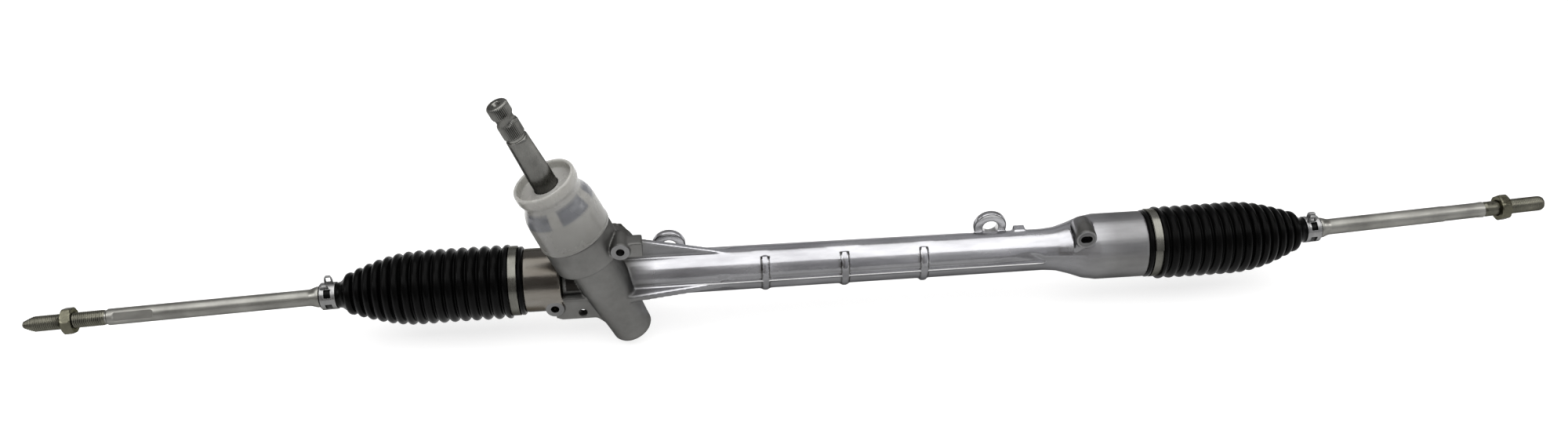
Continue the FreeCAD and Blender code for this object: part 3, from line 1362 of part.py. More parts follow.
def large_clamp(side):
    """Flat steel band with its crimped ear, over the large cuff."""
    lip, sign = boot_line(side)
    place = frame(lip, turn(vec(0, 1, 0), 180 if sign < 0 else 0))
    inner = "boot_seat_radius + large_cuff_wall + clamp_clearance"
    band = turned("band_" + side, [
        ("band_inset", inner), ("band_inset", inner + " + band_thickness"),
        ("band_inset + band_width", inner + " + band_thickness"), ("band_inset + band_width", inner),
    ], place)
    crimp = box("crimp_" + side, "band_width", "band_thickness * 3.4", "9", vec())
    radius = size("boot_seat_radius") + size("large_cuff_wall")
    crimp.Placement = place.multiply(frame(vec(size("band_inset"), radius + 0.3, -4.5)))
    keep("large_clamp_" + side, fuse("large_band_" + side, [band, crimp]))


def small_clamp(side):
    """Spring band with windows and two upright ears, over the small cuff."""
    inner = "rod_swell_radius + cuff_clearance + small_cuff_wall + clamp_clearance"
    near = "cuff_distance - clip_width / 2"
    band = turned("clip_band_" + side, [
        (near, inner), (near, inner + " + clip_thickness"),
        (near + " + clip_width", inner + " + clip_thickness"), (near + " + clip_width", inner),
    ], rod_frame(side))
    radius = (size("rod_swell_radius") + size("cuff_clearance") + size("small_cuff_wall")
              + size("clip_thickness"))
    start = size("cuff_distance") - size("clip_width") / 2
    up = -1.0 if side == "left" else 1.0
    ears = []
    for i, (along, turn_by) in enumerate(((0.0, -14.0), (0.55, 14.0))):
        piece = box("clip_ear_%s_%d" % (side, i), "clip_width * 0.45", "clip_thickness * 1.4",
                    "clip_ear", vec())
        spin = frame(rotation=turn(vec(1, 0, 0), turn_by + (180 if up < 0 else 0)))
        piece.Placement = rod_frame(side).multiply(spin).multiply(
            frame(vec(start + along * size("clip_width"), -0.6, radius - 0.5)))
        ears.append(piece)
    windows = []
    for i in range(5):
        window = box("clip_window_%s_%d" % (side, i), "clip_width * 0.42", "4.2", "6", vec())
        spin = frame(rotation=turn(vec(1, 0, 0), 72.0 * i + 36 + (180 if up < 0 else 0)))
        window.Placement = rod_frame(side).multiply(spin).multiply(
            frame(vec(start + 0.29 * size("clip_width"), -2.1, radius - 3)))
        windows.append(window)
    solid = fuse("clip_solid_" + side, [band] + ears)
    keep("small_clamp_" + side, cut("clip_" + side, solid, fuse("clip_windows_" + side, windows)))


def build():
    rack_housing()
    slot_sleeve()
    rack_bar()
    rack_bush()
    pinion_shaft()
    ball_bearing()
    needle_bearing()
    retaining_ring()
    pinion_seal()
    bottom_plug()
    dust_cover()
    yoke_set()
    for side in ("left", "right"):
        socket(side)
        lock_washer(side)
        ball_seat(side)
        tie_rod(side)
        lock_nut(side)
        boot(side)
        large_clamp(side)
        small_clamp(side)
    doc.recompute()


def check():
    """Stop if anything in the document failed or a piece is not a sound solid."""
    for item in doc.Objects:
        if "Invalid" in item.State or "Error" in item.State:
            raise RuntimeError("%s is %s" % (item.Label, item.State))
    for name, item in nodes.items():
        shape = item.Shape
        if shape.isNull() or not shape.isValid() or not shape.Solids:
            raise RuntimeError("%s has no sound shape" % name)


def write():
    os.makedirs("parts", exist_ok=True)
    for name, item in nodes.items():
        item.Shape.exportStep(os.path.join("parts", name + ".step"))
        print("%-22s %2d solids %10.1f mm3" % (name, len(item.Shape.Solids), item.Shape.Volume))


build()
check()
write()
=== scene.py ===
import bmesh
import bpy
import json
from math import atan2, ceil, cos, hypot, pi, radians, sin
from mathutils import Matrix, Vector

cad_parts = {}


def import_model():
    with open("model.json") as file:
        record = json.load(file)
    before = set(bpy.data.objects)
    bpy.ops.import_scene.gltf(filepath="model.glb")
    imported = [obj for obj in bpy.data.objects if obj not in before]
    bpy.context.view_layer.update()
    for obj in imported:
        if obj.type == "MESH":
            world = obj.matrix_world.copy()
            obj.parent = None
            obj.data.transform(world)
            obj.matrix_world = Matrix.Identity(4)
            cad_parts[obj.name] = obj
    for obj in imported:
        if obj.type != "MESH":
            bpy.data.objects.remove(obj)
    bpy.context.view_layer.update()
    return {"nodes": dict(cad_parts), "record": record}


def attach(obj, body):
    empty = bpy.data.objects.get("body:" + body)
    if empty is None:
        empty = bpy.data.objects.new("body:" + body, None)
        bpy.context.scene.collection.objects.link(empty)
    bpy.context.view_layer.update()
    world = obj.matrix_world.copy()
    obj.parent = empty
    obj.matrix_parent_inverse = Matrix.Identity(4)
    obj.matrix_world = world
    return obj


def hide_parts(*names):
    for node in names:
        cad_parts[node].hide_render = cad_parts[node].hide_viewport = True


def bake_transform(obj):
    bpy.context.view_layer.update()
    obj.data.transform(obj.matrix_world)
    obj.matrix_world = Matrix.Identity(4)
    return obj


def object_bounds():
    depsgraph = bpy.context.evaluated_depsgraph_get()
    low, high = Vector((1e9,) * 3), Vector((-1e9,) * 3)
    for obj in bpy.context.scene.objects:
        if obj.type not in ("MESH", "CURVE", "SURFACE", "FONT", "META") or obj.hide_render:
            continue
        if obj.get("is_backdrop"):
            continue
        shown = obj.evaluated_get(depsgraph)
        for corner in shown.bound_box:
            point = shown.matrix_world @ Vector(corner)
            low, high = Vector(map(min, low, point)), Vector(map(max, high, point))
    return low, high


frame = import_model()

# The steering gear is drawn in millimetres in the rack's own frame: X along the rack, Y to the
# rear, Z up, origin where the pinion axis crosses the rack. ORIGIN is the part's origin there.
MM = 0.001
ORIGIN = Vector((173.0, 20.5, 13.7))
LEAN = 21.0
PINION_Y = -15.198
BALL = {"left": -137.0, "right": 487.0}
SIDES = ("left", "right")
OUTWARD = {"left": -1.0, "right": 1.0}
# Lie of the tie rods, in degrees
LEFT_DROP = 2.6
RIGHT_RISE = 0.4
RIGHT_BACK = 4.0

# Cast housing
LIP = {"left": -64.5, "right": 417.6}
SEAT_RADIUS = 23.2
EARS = (46.7, 299.3)
EAR_Z = 13.7
EAR_FRONT = 14.0
EAR_BACK = 20.5
EAR_BORE = 6.2
# Name, X, Y and Z of the face, and depth of the hole
FRONT_BOSSES = (("upper_boss", 11.8, -35.5, 49.3, 18.0), ("lower_boss", -42.1, -24.0, -10.7, 9.4))
BOSS_BORE = 3.1
SLOT_BOSS = (366.2, -22.0, 24.4)

# Bellows
FOLDS = {"left": 16, "right": 15}
FOLD_RATIO = 1.22
GROWING = 7.0
CREST = 28.4
CREST_SMALL = 16.2
FOLD_DEPTH = 4.4
FIRST_FOLD = 7.8
BAND_END = 10.9
SHOULDER = 5.5
BEND = 3
RUBBER = 1.5
# Folds at which a boot's lengths part, counted from the housing
CUTS = (9, 11)
LARGE_CUFF = 2.4
CUFF_MIDDLE = {"left": 76.0, "right": 69.5}
CUFF_HALF = 7.0
CUFF_RADIUS = 9.62


# Placing

def place(x, y, z):
    """Point of the rack's frame, as a point of the scene."""
    return (Vector((x, y, z)) - ORIGIN) * MM


def seat(x=0.0, y=0.0, z=0.0, rotation=None):
    """Matrix that carries millimetres drawn about a point into the scene."""
    turned = rotation or Matrix.Identity(4)
    return Matrix.Translation(place(x, y, z)) @ turned @ Matrix.Scale(MM, 4)


def spin(angle, axis):
    """Rotation by degrees about an axis."""
    return Matrix.Rotation(radians(angle), 4, axis)


def pinion_seat():
    """X runs up the pinion axis."""
    return seat(0, PINION_Y, 0, spin(-90 - LEAN, "Y"))


def in_rack(point):
    """Coordinates of a point of the scene in the rack's frame, in millimetres."""
    return point.x / MM + ORIGIN.x, point.y / MM + ORIGIN.y, point.z / MM + ORIGIN.z


def rod_turn(side):
    """Rotation that lays X outwards along a tie rod."""
    if side == "left":
        return spin(180 - LEFT_DROP, "Y")
    return spin(-RIGHT_RISE, "Y") @ spin(RIGHT_BACK, "Z")


def rod_seat(side):
    """X runs outwards along a tie rod from its ball centre."""
    return seat(BALL[side], 0, 0, rod_turn(side))


def rack_seat(x, side):
    """X runs outwards along the rack from a point on its axis."""
    return seat(x, 0, 0, spin(180 if side == "left" else 0, "Y"))


def facing_front(x, y, z):
    """X runs to the front from a boss face."""
    return seat(x, y, z, spin(-90, "Z"))


def facing_back(x, y, z):
    """X runs to the rear from an ear face."""
    return seat(x, y, z, spin(90, "Z"))


# Mesh tools

def link(name, data):
    """New object of the scene."""
    piece = bpy.data.objects.new(name, data)
    bpy.context.scene.collection.objects.link(piece)
    return piece


def finish_mesh(name, mesh, sharp=32.0):
    """Object from a mesh, smooth but for its sharp edges, with outward faces."""
    work = bmesh.new()
    work.from_mesh(mesh)
    bmesh.ops.remove_doubles(work, verts=work.verts, dist=1e-6)
    bmesh.ops.recalc_face_normals(work, faces=work.faces)
    work.to_mesh(mesh)
    work.free()
    mesh.shade_smooth()
    mesh.set_sharp_from_angle(angle=radians(sharp))
    return link(name, mesh)


def from_work(name, work):
    """Object from a mesh under work, which is then freed."""
    mesh = bpy.data.meshes.new(name)
    work.to_mesh(mesh)
    work.free()
    return finish_mesh(name, mesh)


def from_rings(name, rings, matrix, closed=False, sharp=32.0):
    """Skin over rings of points; a ring of one point is a tip."""
    verts, starts = [], []
    for ring in rings:
        starts.append(len(verts))
        verts += [matrix @ Vector(point) for point in ring]
    faces = []
    pairs = list(zip(range(len(rings) - 1), range(1, len(rings))))
    if closed:
        pairs.append((len(rings) - 1, 0))
    for a, b in pairs:
        count = max(len(rings[a]), len(rings[b]))
        for i in range(count):
            j = (i + 1) % count
            corners = []
            for ring, at in ((a, i), (a, j), (b, j), (b, i)):
                corner = starts[ring] + (at if len(rings[ring]) > 1 else 0)
                if corner not in corners:
                    corners.append(corner)
            if len(corners) > 2:
                faces.append(corners)
    mesh = bpy.data.meshes.new(name)
    mesh.from_pydata(verts, [], faces)
    return finish_mesh(name, mesh, sharp)


def ring_at(x, radius, around):
    """Circle of points round X; radius may be a function of the angle."""
    if not callable(radius) and radius < 1e-6:
        return [(x, 0.0, 0.0)]
    made = []
    for i in range(around):
        angle = 2 * pi * i / around
        r = radius(angle) if callable(radius) else radius
        made.append((x, r * cos(angle), r * sin(angle)))
    return made


def lathe(name, outline, matrix, around=96, closed=False, sharp=32.0):
    """Turned piece about X from (x, radius) corners."""
    rings = [ring_at(x, radius, around) for x, radius in outline]
    return from_rings(name, rings, matrix, closed, sharp)


def soften(outline, radius, steps=4, closed=False):
    """Outline with each corner replaced by a small curve."""
    total = len(outline)
    made = []
    for i, (x, y) in enumerate(outline):
        if not closed and i in (0, total - 1):
            made.append((x, y))
            continue
        before, after = outline[i - 1], outline[(i + 1) % total]
        back = hypot(before[0] - x, before[1] - y)
        ahead = hypot(after[0] - x, after[1] - y)
        a, b = min(radius, back * 0.45), min(radius, ahead * 0.45)
        start = (x + (before[0] - x) * a / back, y + (before[1] - y) * a / back)
        end = (x + (after[0] - x) * b / ahead, y + (after[1] - y) * b / ahead)
        for step in range(steps + 1):
            t = step / steps
            made.append(tuple((1 - t) ** 2 * start[k] + 2 * t * (1 - t) * (x, y)[k] + t * t * end[k]
                              for k in (0, 1)))
    return made


def ring_washer(name, inner, outer, front, back, matrix, edge=0.35, around=96):
    """Flat machined ring with broken edges."""
    outline = soften([(front, inner), (front, outer), (back, outer), (back, inner)],
                     edge, 2, closed=True)
    return lathe(name, outline, matrix, around, closed=True)


def copy_of(node, name):
    """New object with a copy of a CAD node's mesh."""
    mesh = frame["nodes"][node].data.copy()
    mesh.materials.clear()
    return link(name, mesh)


def apply_modifiers(piece):
    """Bake a piece's modifiers into its mesh."""
    bpy.context.view_layer.update()
    graph = bpy.context.evaluated_depsgraph_get()
    baked = bpy.data.meshes.new_from_object(piece.evaluated_get(graph))
    piece.modifiers.clear()
    piece.data = baked
    return piece


def thicken(piece, thickness):
    """Give a thin sheet a wall, half of it on each side."""
    wall = piece.modifiers.new("wall", "SOLIDIFY")
    wall.thickness = thickness * MM
    wall.offset = 0.0


def keep_values(piece, name, values):
    """Keep one value for each point of a piece, for its material."""
    kept = piece.data.attributes.new(name, "FLOAT", "POINT")
    kept.data.foreach_set("value", values)


def join(name, parts):
    """One object from several, still without a material."""
    work = bmesh.new()
    for part in parts:
        work.from_mesh(part.data)
        bpy.data.objects.remove(part)
    return from_work(name, work)


# Materials

class Shade:
    """Small helper that holds one material's node tree."""

    def __init__(self, name):
        self.material = bpy.data.materials.new(name)
        self.material.use_nodes = True
        self.nodes = self.material.node_tree.nodes
        self.links = self.material.node_tree.links
        self.shader = self.nodes["Principled BSDF"]
        self.coordinate = self.nodes.new("ShaderNodeTexCoord").outputs["Object"]

    def set(self, **values):
        """Set constants on the main shader."""
        for key, value in values.items():
            self.shader.inputs[key.replace("_", " ")].default_value = value

    def mapped(self, scale, turned=(0, 0, 0)):
        """Object coordinates, stretched and turned."""
        node = self.nodes.new("ShaderNodeMapping")
        node.inputs["Scale"].default_value = scale
        node.inputs["Rotation"].default_value = turned
        self.links.new(self.coordinate, node.inputs["Vector"])
        return node.outputs["Vector"]

    def noise(self, scale, detail=4.0, vector=None, rough=0.55):
        """Cloudy noise from 0 to 1."""
        node = self.nodes.new("ShaderNodeTexNoise")
        node.inputs["Scale"].default_value = scale
        node.inputs["Detail"].default_value = detail
        node.inputs["Roughness"].default_value = rough
        self.links.new(vector or self.coordinate, node.inputs["Vector"])
        return node.outputs["Fac"]

    def cells(self, scale):
        """Distance to the middle of small cells."""
        node = self.nodes.new("ShaderNodeTexVoronoi")
        node.inputs["Scale"].default_value = scale
        self.links.new(self.coordinate, node.inputs["Vector"])
        return node.outputs["Distance"]

    def ramp(self, value, stops):
        """Colour ramp from (position, colour) stops."""
        node = self.nodes.new("ShaderNodeValToRGB")
        ramp = node.color_ramp
        while len(ramp.elements) < len(stops):
            ramp.elements.new(0.5)
        for element, (position, colour) in zip(ramp.elements, stops):
            element.position = position
            element.color = colour if len(colour) == 4 else (*colour, 1.0)
        self.links.new(value, node.inputs["Fac"])
        return node.outputs["Color"]

    def levels(self, value, low, high, start=0.3, end=0.7):
        """Value spread between two levels."""
        node = self.nodes.new("ShaderNodeMapRange")
        node.inputs["From Min"].default_value = start
        node.inputs["From Max"].default_value = end
        node.inputs["To Min"].default_value = low
        node.inputs["To Max"].default_value = high
        self.links.new(value, node.inputs["Value"])
        return node.outputs["Result"]

    def attribute(self, name):
        """Value kept on the mesh's points."""
        node = self.nodes.new("ShaderNodeAttribute")
        node.attribute_name = name
        return node.outputs["Fac"]

    def greater(self, one, other):
        """Greater of two values."""
        node = self.nodes.new("ShaderNodeMath")
        node.operation = "MAXIMUM"
        self.links.new(one, node.inputs[0])
        self.links.new(other, node.inputs[1])
        return node.outputs[0]

    def mix(self, share, one, other):
        """Mix of two values."""
        node = self.nodes.new("ShaderNodeMix")
        self.links.new(share, node.inputs[0])
        self.links.new(one, node.inputs[2])
        self.links.new(other, node.inputs[3])
        return node.outputs[0]

    def blend(self, share, one, other):
        """Mix of two colours."""
        node = self.nodes.new("ShaderNodeMix")
        node.data_type = "RGBA"
        self.links.new(share, node.inputs[0])
        self.links.new(one, node.inputs[6])
        self.links.new(other, node.inputs[7])
        return node.outputs[2]

    def bump(self, value, depth, strength=0.5, under=None):
        """Bump of a depth in metres, chained on another one."""
        node = self.nodes.new("ShaderNodeBump")
        node.inputs["Strength"].default_value = strength
        node.inputs["Distance"].default_value = depth
        self.links.new(value, node.inputs["Height"])
        if under:
            self.links.new(under, node.inputs["Normal"])
        self.links.new(node.outputs["Normal"], self.shader.inputs["Normal"])
        return node.outputs["Normal"]

    def colour(self, socket):
        """Lead a colour to the main shader."""
        self.links.new(socket, self.shader.inputs["Base Color"])

    def roughness(self, socket):
        """Lead a roughness to the main shader."""
        self.links.new(socket, self.shader.inputs["Roughness"])


def grey(level, warm=0.0):
    """Grey with a little olive warmth."""
    return (level * (1 + warm * 0.4), level * (1 + warm * 0.25), level * (1 - warm))


# Share of a metal's colour that its undersides keep, as painted shade
UNDERSIDE = 0.5
EDGE_TINT = (0.35, 0.35, 0.35, 1.0)


def metal(name, dark, light, rough, grain, bump_depth, warm=0.0, patch=18.0):
    """Metal with a cloudy colour, a grain that may be stretched, and a fine bump.

    Its undersides are painted darker as shade, because the white floor's reflection makes them too
    bright.
    """
    s = Shade(name)
    s.set(Metallic=1.0, Specular_Tint=EDGE_TINT)
    cloud = s.noise(patch, 5.0)
    clean = s.ramp(cloud, [(0.3, grey(dark, warm)), (0.7, grey(light, warm))])
    # Painted shade: undersides keep only part of the metal's colour
    painted_underside_shade = s.ramp(cloud, [(0.3, grey(dark * UNDERSIDE, warm)),
                           (0.7, grey(light * UNDERSIDE, warm))])
    s.colour(s.blend(s.attribute("under"), clean, painted_underside_shade))
    fine = s.noise(1.0, 6.0, s.mapped(grain))
    s.roughness(s.levels(fine, rough - 0.07, rough + 0.09))
    s.bump(fine, bump_depth, 0.4)
    return s.material


def cast_aluminium():
    """Die-cast skin: bright on the tube, dull round the tower, brown on the neck, with painted shade
    on undersides, in the pocket and along the ribs' feet.
    """
    s = Shade("cast_aluminium")
    s.set(Metallic=1.0, Specular_Tint=EDGE_TINT)
    tube, neck = s.attribute("tube"), s.attribute("neck")
    cloud = s.noise(26.0, 6.0, rough=0.6)
    flow = s.noise(9.0, 5.0, s.mapped((2.0, 9.0, 9.0)))
    dull = s.ramp(cloud, [(0.3, (0.085, 0.084, 0.080)), (0.7, (0.175, 0.174, 0.168))])
    shiny = s.ramp(flow, [(0.32, (0.40, 0.40, 0.42)), (0.68, (0.60, 0.60, 0.625))])
    # Painted shade on the tube's undersides
    painted_underside_shade = s.ramp(flow, [(0.32, (0.12, 0.12, 0.123)), (0.68, (0.19, 0.19, 0.196))])
    bright = s.blend(s.attribute("under"), shiny, painted_underside_shade)
    brown = s.ramp(flow, [(0.3, (0.10, 0.088, 0.073)), (0.7, (0.19, 0.18, 0.163))])
    # Painted shadow for the pocket's bottom
    black = s.ramp(cloud, [(0.3, (0.012, 0.011, 0.010)), (0.7, (0.03, 0.028, 0.025))])
    # Painted shade along the feet of the ribs
    dark = s.ramp(cloud, [(0.3, (0.05, 0.049, 0.048)), (0.7, (0.10, 0.099, 0.098))])
    tubular = s.blend(s.attribute("crease"), s.blend(tube, dull, bright), dark)
    clean = s.blend(neck, tubular, brown)
    s.colour(s.blend(s.attribute("pocket"), clean, black))
    matt = s.levels(cloud, 0.42, 0.54)
    satin = s.levels(flow, 0.19, 0.29)
    s.roughness(s.mix(s.greater(neck, tube), matt, satin))
    under = s.bump(s.noise(140.0, 3.0), 0.00016, 0.25)
    under = s.bump(s.noise(1500.0, 3.0), 0.00005, 0.35, under)
    s.bump(s.cells(520.0), 0.00006, 0.2, under)
    return s.material


def machined(name, dark, light, rough=0.28):
    """Turned face with a fine, even grain."""
    s = Shade(name)
    s.set(Metallic=1.0)
    s.colour(s.ramp(s.noise(60.0, 4.0), [(0.3, grey(dark)), (0.7, grey(light))]))
    marks = s.noise(2600.0, 2.0)
    s.roughness(s.levels(marks, rough - 0.05, rough + 0.08))
    s.bump(marks, 0.00003, 0.3)
    return s.material


def rubber(name, level=0.0012, rough=0.30):
    """Black moulded rubber with a faint bloom."""
    s = Shade(name)
    s.set(Metallic=0.0, Specular_IOR_Level=0.06)
    s.colour(s.ramp(s.noise(35.0, 5.0), [(0.3, grey(level * 0.75)), (0.72, grey(level * 1.5))]))
    fine = s.noise(900.0, 3.0)
    s.roughness(s.levels(s.noise(80.0, 4.0), rough - 0.06, rough + 0.1))
    s.bump(fine, 0.00004, 0.3)
    return s.material


def milky_plastic():
    """Milky plastic, painted darker towards the cover's foot as shade, and painted darker and bluer
    at its windows as the shade of the inside seen through their thinner wall.
    """
    s = Shade("milky_plastic")
    s.set(Metallic=0.0, IOR=1.49, Transmission_Weight=0.08, Subsurface_Weight=0.3,
          Subsurface_Radius=(0.010, 0.010, 0.009), Subsurface_Scale=1.0)
    cloud = s.noise(40.0, 4.0)
    # Painted shade: darker towards the foot, lighter towards the top
    foot = s.ramp(cloud, [(0.3, (0.225, 0.222, 0.205)), (0.7, (0.275, 0.272, 0.255))])
    top = s.ramp(cloud, [(0.3, (0.44, 0.43, 0.40)), (0.7, (0.52, 0.515, 0.49))])
    # Painted shade at the windows, for the dark inside seen through the thinner wall
    thin = s.ramp(cloud, [(0.3, (0.17, 0.175, 0.187)), (0.7, (0.22, 0.226, 0.24))])
    body = s.blend(s.attribute("height"), foot, top)
    s.colour(s.blend(s.attribute("window"), body, thin))
    s.roughness(s.levels(s.noise(60.0, 4.0), 0.2, 0.34))
    s.bump(s.noise(110.0, 3.0), 0.00006, 0.25)
    return s.material


def plain_plastic(name, low, high, rough=0.42):
    """Opaque plastic between two colours."""
    s = Shade(name)
    s.colour(s.ramp(s.noise(90.0, 4.0), [(0.3, low), (0.7, high)]))
    s.roughness(s.levels(s.noise(200.0, 3.0), rough - 0.05, rough + 0.08))
    s.bump(s.noise(900.0, 3.0), 0.00003, 0.3)
    return s.material


MATERIALS = {
    "cast_aluminium": cast_aluminium(),
    # Brighter metal for the raised seam: a painted highlight over its real bead
    "seam_highlight_aluminium": machined("seam_highlight_aluminium", 0.60, 0.72, 0.22),
    "machined_aluminium": machined("machined_aluminium", 0.44, 0.60),
    "machined_boss": machined("machined_boss", 0.12, 0.17),
    "rack_steel": metal("rack_steel", 0.36, 0.46, 0.24, (60, 900, 900), 0.00002),
    "dark_steel": metal("dark_steel", 0.12, 0.20, 0.33, (40, 1400, 1400), 0.00003, warm=0.06,
                        patch=70.0),
    "shaft_steel": metal("shaft_steel", 0.17, 0.28, 0.26, (700, 700, 60), 0.00003, warm=0.05,
                         patch=55.0),
    "sleeve_steel": metal("sleeve_steel", 0.07, 0.11, 0.34, (500, 500, 500), 0.00002, patch=90.0),
    "bright_steel": metal("bright_steel", 0.16, 0.26, 0.26, (900, 90, 90), 0.00003, warm=0.09,
                          patch=60.0),
    "clip_steel": metal("clip_steel", 0.30, 0.46, 0.30, (500, 200, 200), 0.00003, patch=90.0),
    "zinc_steel": metal("zinc_steel", 0.11, 0.19, 0.30, (600, 600, 600), 0.00003, warm=0.22,
                        patch=110.0),
    "rod_steel": metal("rod_steel", 0.27, 0.43, 0.36, (50, 700, 700), 0.00003, warm=0.06,
                       patch=45.0),
    "thread_steel": metal("thread_steel", 0.12, 0.22, 0.30, (300, 500, 500), 0.00002, warm=0.16,
                          patch=80.0),
    "boot_rubber": rubber("boot_rubber"),
    "black_rubber": rubber("black_rubber", 0.008, 0.5),
    "milky_plastic": milky_plastic(),
    "bearing_plastic": plain_plastic("bearing_plastic", (0.62, 0.58, 0.45), (0.74, 0.70, 0.58)),
}


# Upward share of a normal below which a point counts as an underside, and the fade to it, for the
# painted shade on undersides
UNDER_START = 0.50
UNDER_FADE = 0.25


def mark_underside(piece):
    """Keep on each point how far it faces down, from 0 above to 1 below, for the painted shade on
    undersides.
    """
    keep_values(piece, "under", [min(1.0, max(0.0, (UNDER_START - vertex.normal.z) / UNDER_FADE))
                                 for vertex in piece.data.vertices])


def coat(piece, material):
    """Give a new piece its material and its mask for the painted shade on undersides."""
    mark_underside(piece)
    piece.data.materials.append(MATERIALS[material])
    return piece


def add(piece, material, slot, body, *nodes):
    """Finish a new rigid piece: material, body and the CAD nodes it stands for; its slot is not
    used.
    """
    coat(piece, material)
    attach(piece, body)
    if nodes:
        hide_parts(*nodes)
    return piece


# Cast housing

VOXEL = 0.00085
CAST_SMOOTHING = 7
RIBS = (119.7, 181.2, 242.7)
SEAM_START, SEAM_END = 62.0, 336.0
TUBE_START, TUBE_END = -34.0, 338.0
TUBE_RADII = (17.6, 16.3)
RIDGE_HEIGHT = 0.8
# Where the casting changes its look: places along the rack and distances from its axis
BRIGHT_START, BRIGHT_FADE = 14.0, 22.0
BRIGHT_REACH, BRIGHT_EDGE = 34.0, 5.0
BARREL_START, BARREL_FADE, BARREL_DULL = 352.0, 40.0, 0.65
NECK_END = -35.0
NECK_RADII = (17.0, 25.6)
# Pocket between neck and tower, whose bottom is painted near-black as shade
POCKET_START, POCKET_END = -38.0, -4.0
POCKET_FRONT, POCKET_RADIUS = -2.0, 17.6
# Feet of the ribs, where shade is painted dark
CREASE_FRONT, CREASE_RISE = -7.0, 0.9
CREASE_NEAR, CREASE_FAR = 2.0, 3.6


def tube_share(point):
    """How much a point of the casting belongs to the bright tube, from 0 to 1."""
    x, y, z = in_rack(point)
    begun = min(1.0, max(0.0, (x - BRIGHT_START) / BRIGHT_FADE))
    near = min(1.0, max(0.0, (BRIGHT_REACH - hypot(y, z)) / BRIGHT_EDGE))
    barrel = min(1.0, max(0.0, (x - BARREL_START) / BARREL_FADE))
    return begun * near * (1 - BARREL_DULL * barrel)


def neck_share(point):
    """1 on the wide neck beside the left bellows, 0 elsewhere."""
    x, y, z = in_rack(point)
    inner, outer = NECK_RADII
    return 1.0 if x < NECK_END and inner < hypot(y, z) < outer else 0.0


def pocket_shade_share(point):
    """1 on the bottom of the pocket between neck and tower, which is painted near-black as shade, 0
    elsewhere.
    """
    x, y, z = in_rack(point)
    inside = POCKET_START < x < POCKET_END and y < POCKET_FRONT
    return 1.0 if inside and hypot(y, z) < POCKET_RADIUS else 0.0


def tube_radius(x):
    """Radius of the slightly tapered tube."""
    share = (x - TUBE_START) / (TUBE_END - TUBE_START)
    return TUBE_RADII[0] + (TUBE_RADII[1] - TUBE_RADII[0]) * share


def crease_shade_share(point):
    """1 along both feet of the tube's ribs, where shade is painted dark, 0 elsewhere."""
    x, y, z = in_rack(point)
    if y > CREASE_FRONT or hypot(y, z) > tube_radius(x) + CREASE_RISE:
        return 0.0
    gap = min(abs(x - rib) for rib in RIBS)
    return 1.0 if CREASE_NEAR < gap < CREASE_FAR else 0.0


def housing():
    """Casting with the rounded edges and hollows that a die leaves."""
    piece = copy_of("rack_housing", "housing_casting")
    work = bmesh.new()
    work.from_mesh(piece.data)
    bmesh.ops.remove_doubles(work, verts=work.verts, dist=2e-6)
    work.to_mesh(piece.data)
    work.free()
    remesh = piece.modifiers.new("skin", "REMESH")
    remesh.mode = "VOXEL"
    remesh.voxel_size = VOXEL
    smooth = piece.modifiers.new("rounding", "SMOOTH")
    smooth.factor = 0.5
    smooth.iterations = CAST_SMOOTHING
    apply_modifiers(piece)
    piece.data.shade_smooth()
    # Masks for the tube's finish and the brown neck, and for the painted shade in the pocket and
    # along the ribs' feet
    for name, share in (("tube", tube_share), ("neck", neck_share), ("pocket", pocket_shade_share),
                        ("crease", crease_shade_share)):
        keep_values(piece, name, [share(vertex.co) for vertex in piece.data.vertices])
    add(piece, "cast_aluminium", "cast_aluminium", "housing", "rack_housing")


def parting_line():
    """Fine raised seam that the die leaves along the front of the tube, in brighter metal than the
    tube as a painted highlight.
    """
    rings = []
    for x in (SEAM_START, SEAM_START + 6.0, SEAM_END - 6.0, SEAM_END):
        swell = 0.2 if x in (SEAM_START, SEAM_END) else 0.45
        crown = -tube_radius(x) - RIDGE_HEIGHT
        rings.append([(x, crown + swell * cos(pi * i / 4), swell * sin(pi * i / 4))
                      for i in range(8)])
    piece = from_rings("parting_line", rings, seat(), sharp=50.0)
    add(piece, "seam_highlight_aluminium", "cast_aluminium", "housing")


def machined_faces():
    """Turned faces and bores on the ears and bosses."""
    ears, bosses = [], []
    for i, x in enumerate(EARS):
        front = facing_back(x, EAR_FRONT, EAR_Z)
        depth = EAR_BACK - EAR_FRONT
        ears += [ring_washer("ear_front_%d" % i, EAR_BORE, 12.0, -0.3, 1.2, front),
                 ring_washer("ear_back_%d" % i, EAR_BORE, 11.2, depth - 1.2, depth + 0.05, front),
                 ring_washer("ear_bore_%d" % i, 6.16, 6.8, 0.2, depth - 0.2, front)]
    for name, x, y, z, depth in FRONT_BOSSES:
        place_at = facing_front(x, y, z)
        bosses += [ring_washer("%s_face" % name, 3.12, 7.0, -1.2, 0.1, place_at),
                   ring_washer("%s_bore" % name, BOSS_BORE, 3.8, -depth, -0.3, place_at)]
    bosses.append(ring_washer("slot_face", 6.24, 7.9, -1.2, 0.1, facing_front(*SLOT_BOSS)))
    for ring in ears:
        add(ring, "machined_aluminium", "cast_aluminium", "housing")
    for ring in bosses:
        add(ring, "machined_boss", "cast_aluminium", "housing")


# Bellows

def rod_axis(side):
    """Start point and outward direction of a tie rod, in the rack's frame."""
    return Vector((BALL[side], 0, 0)), rod_turn(side).to_3x3() @ Vector((1, 0, 0))


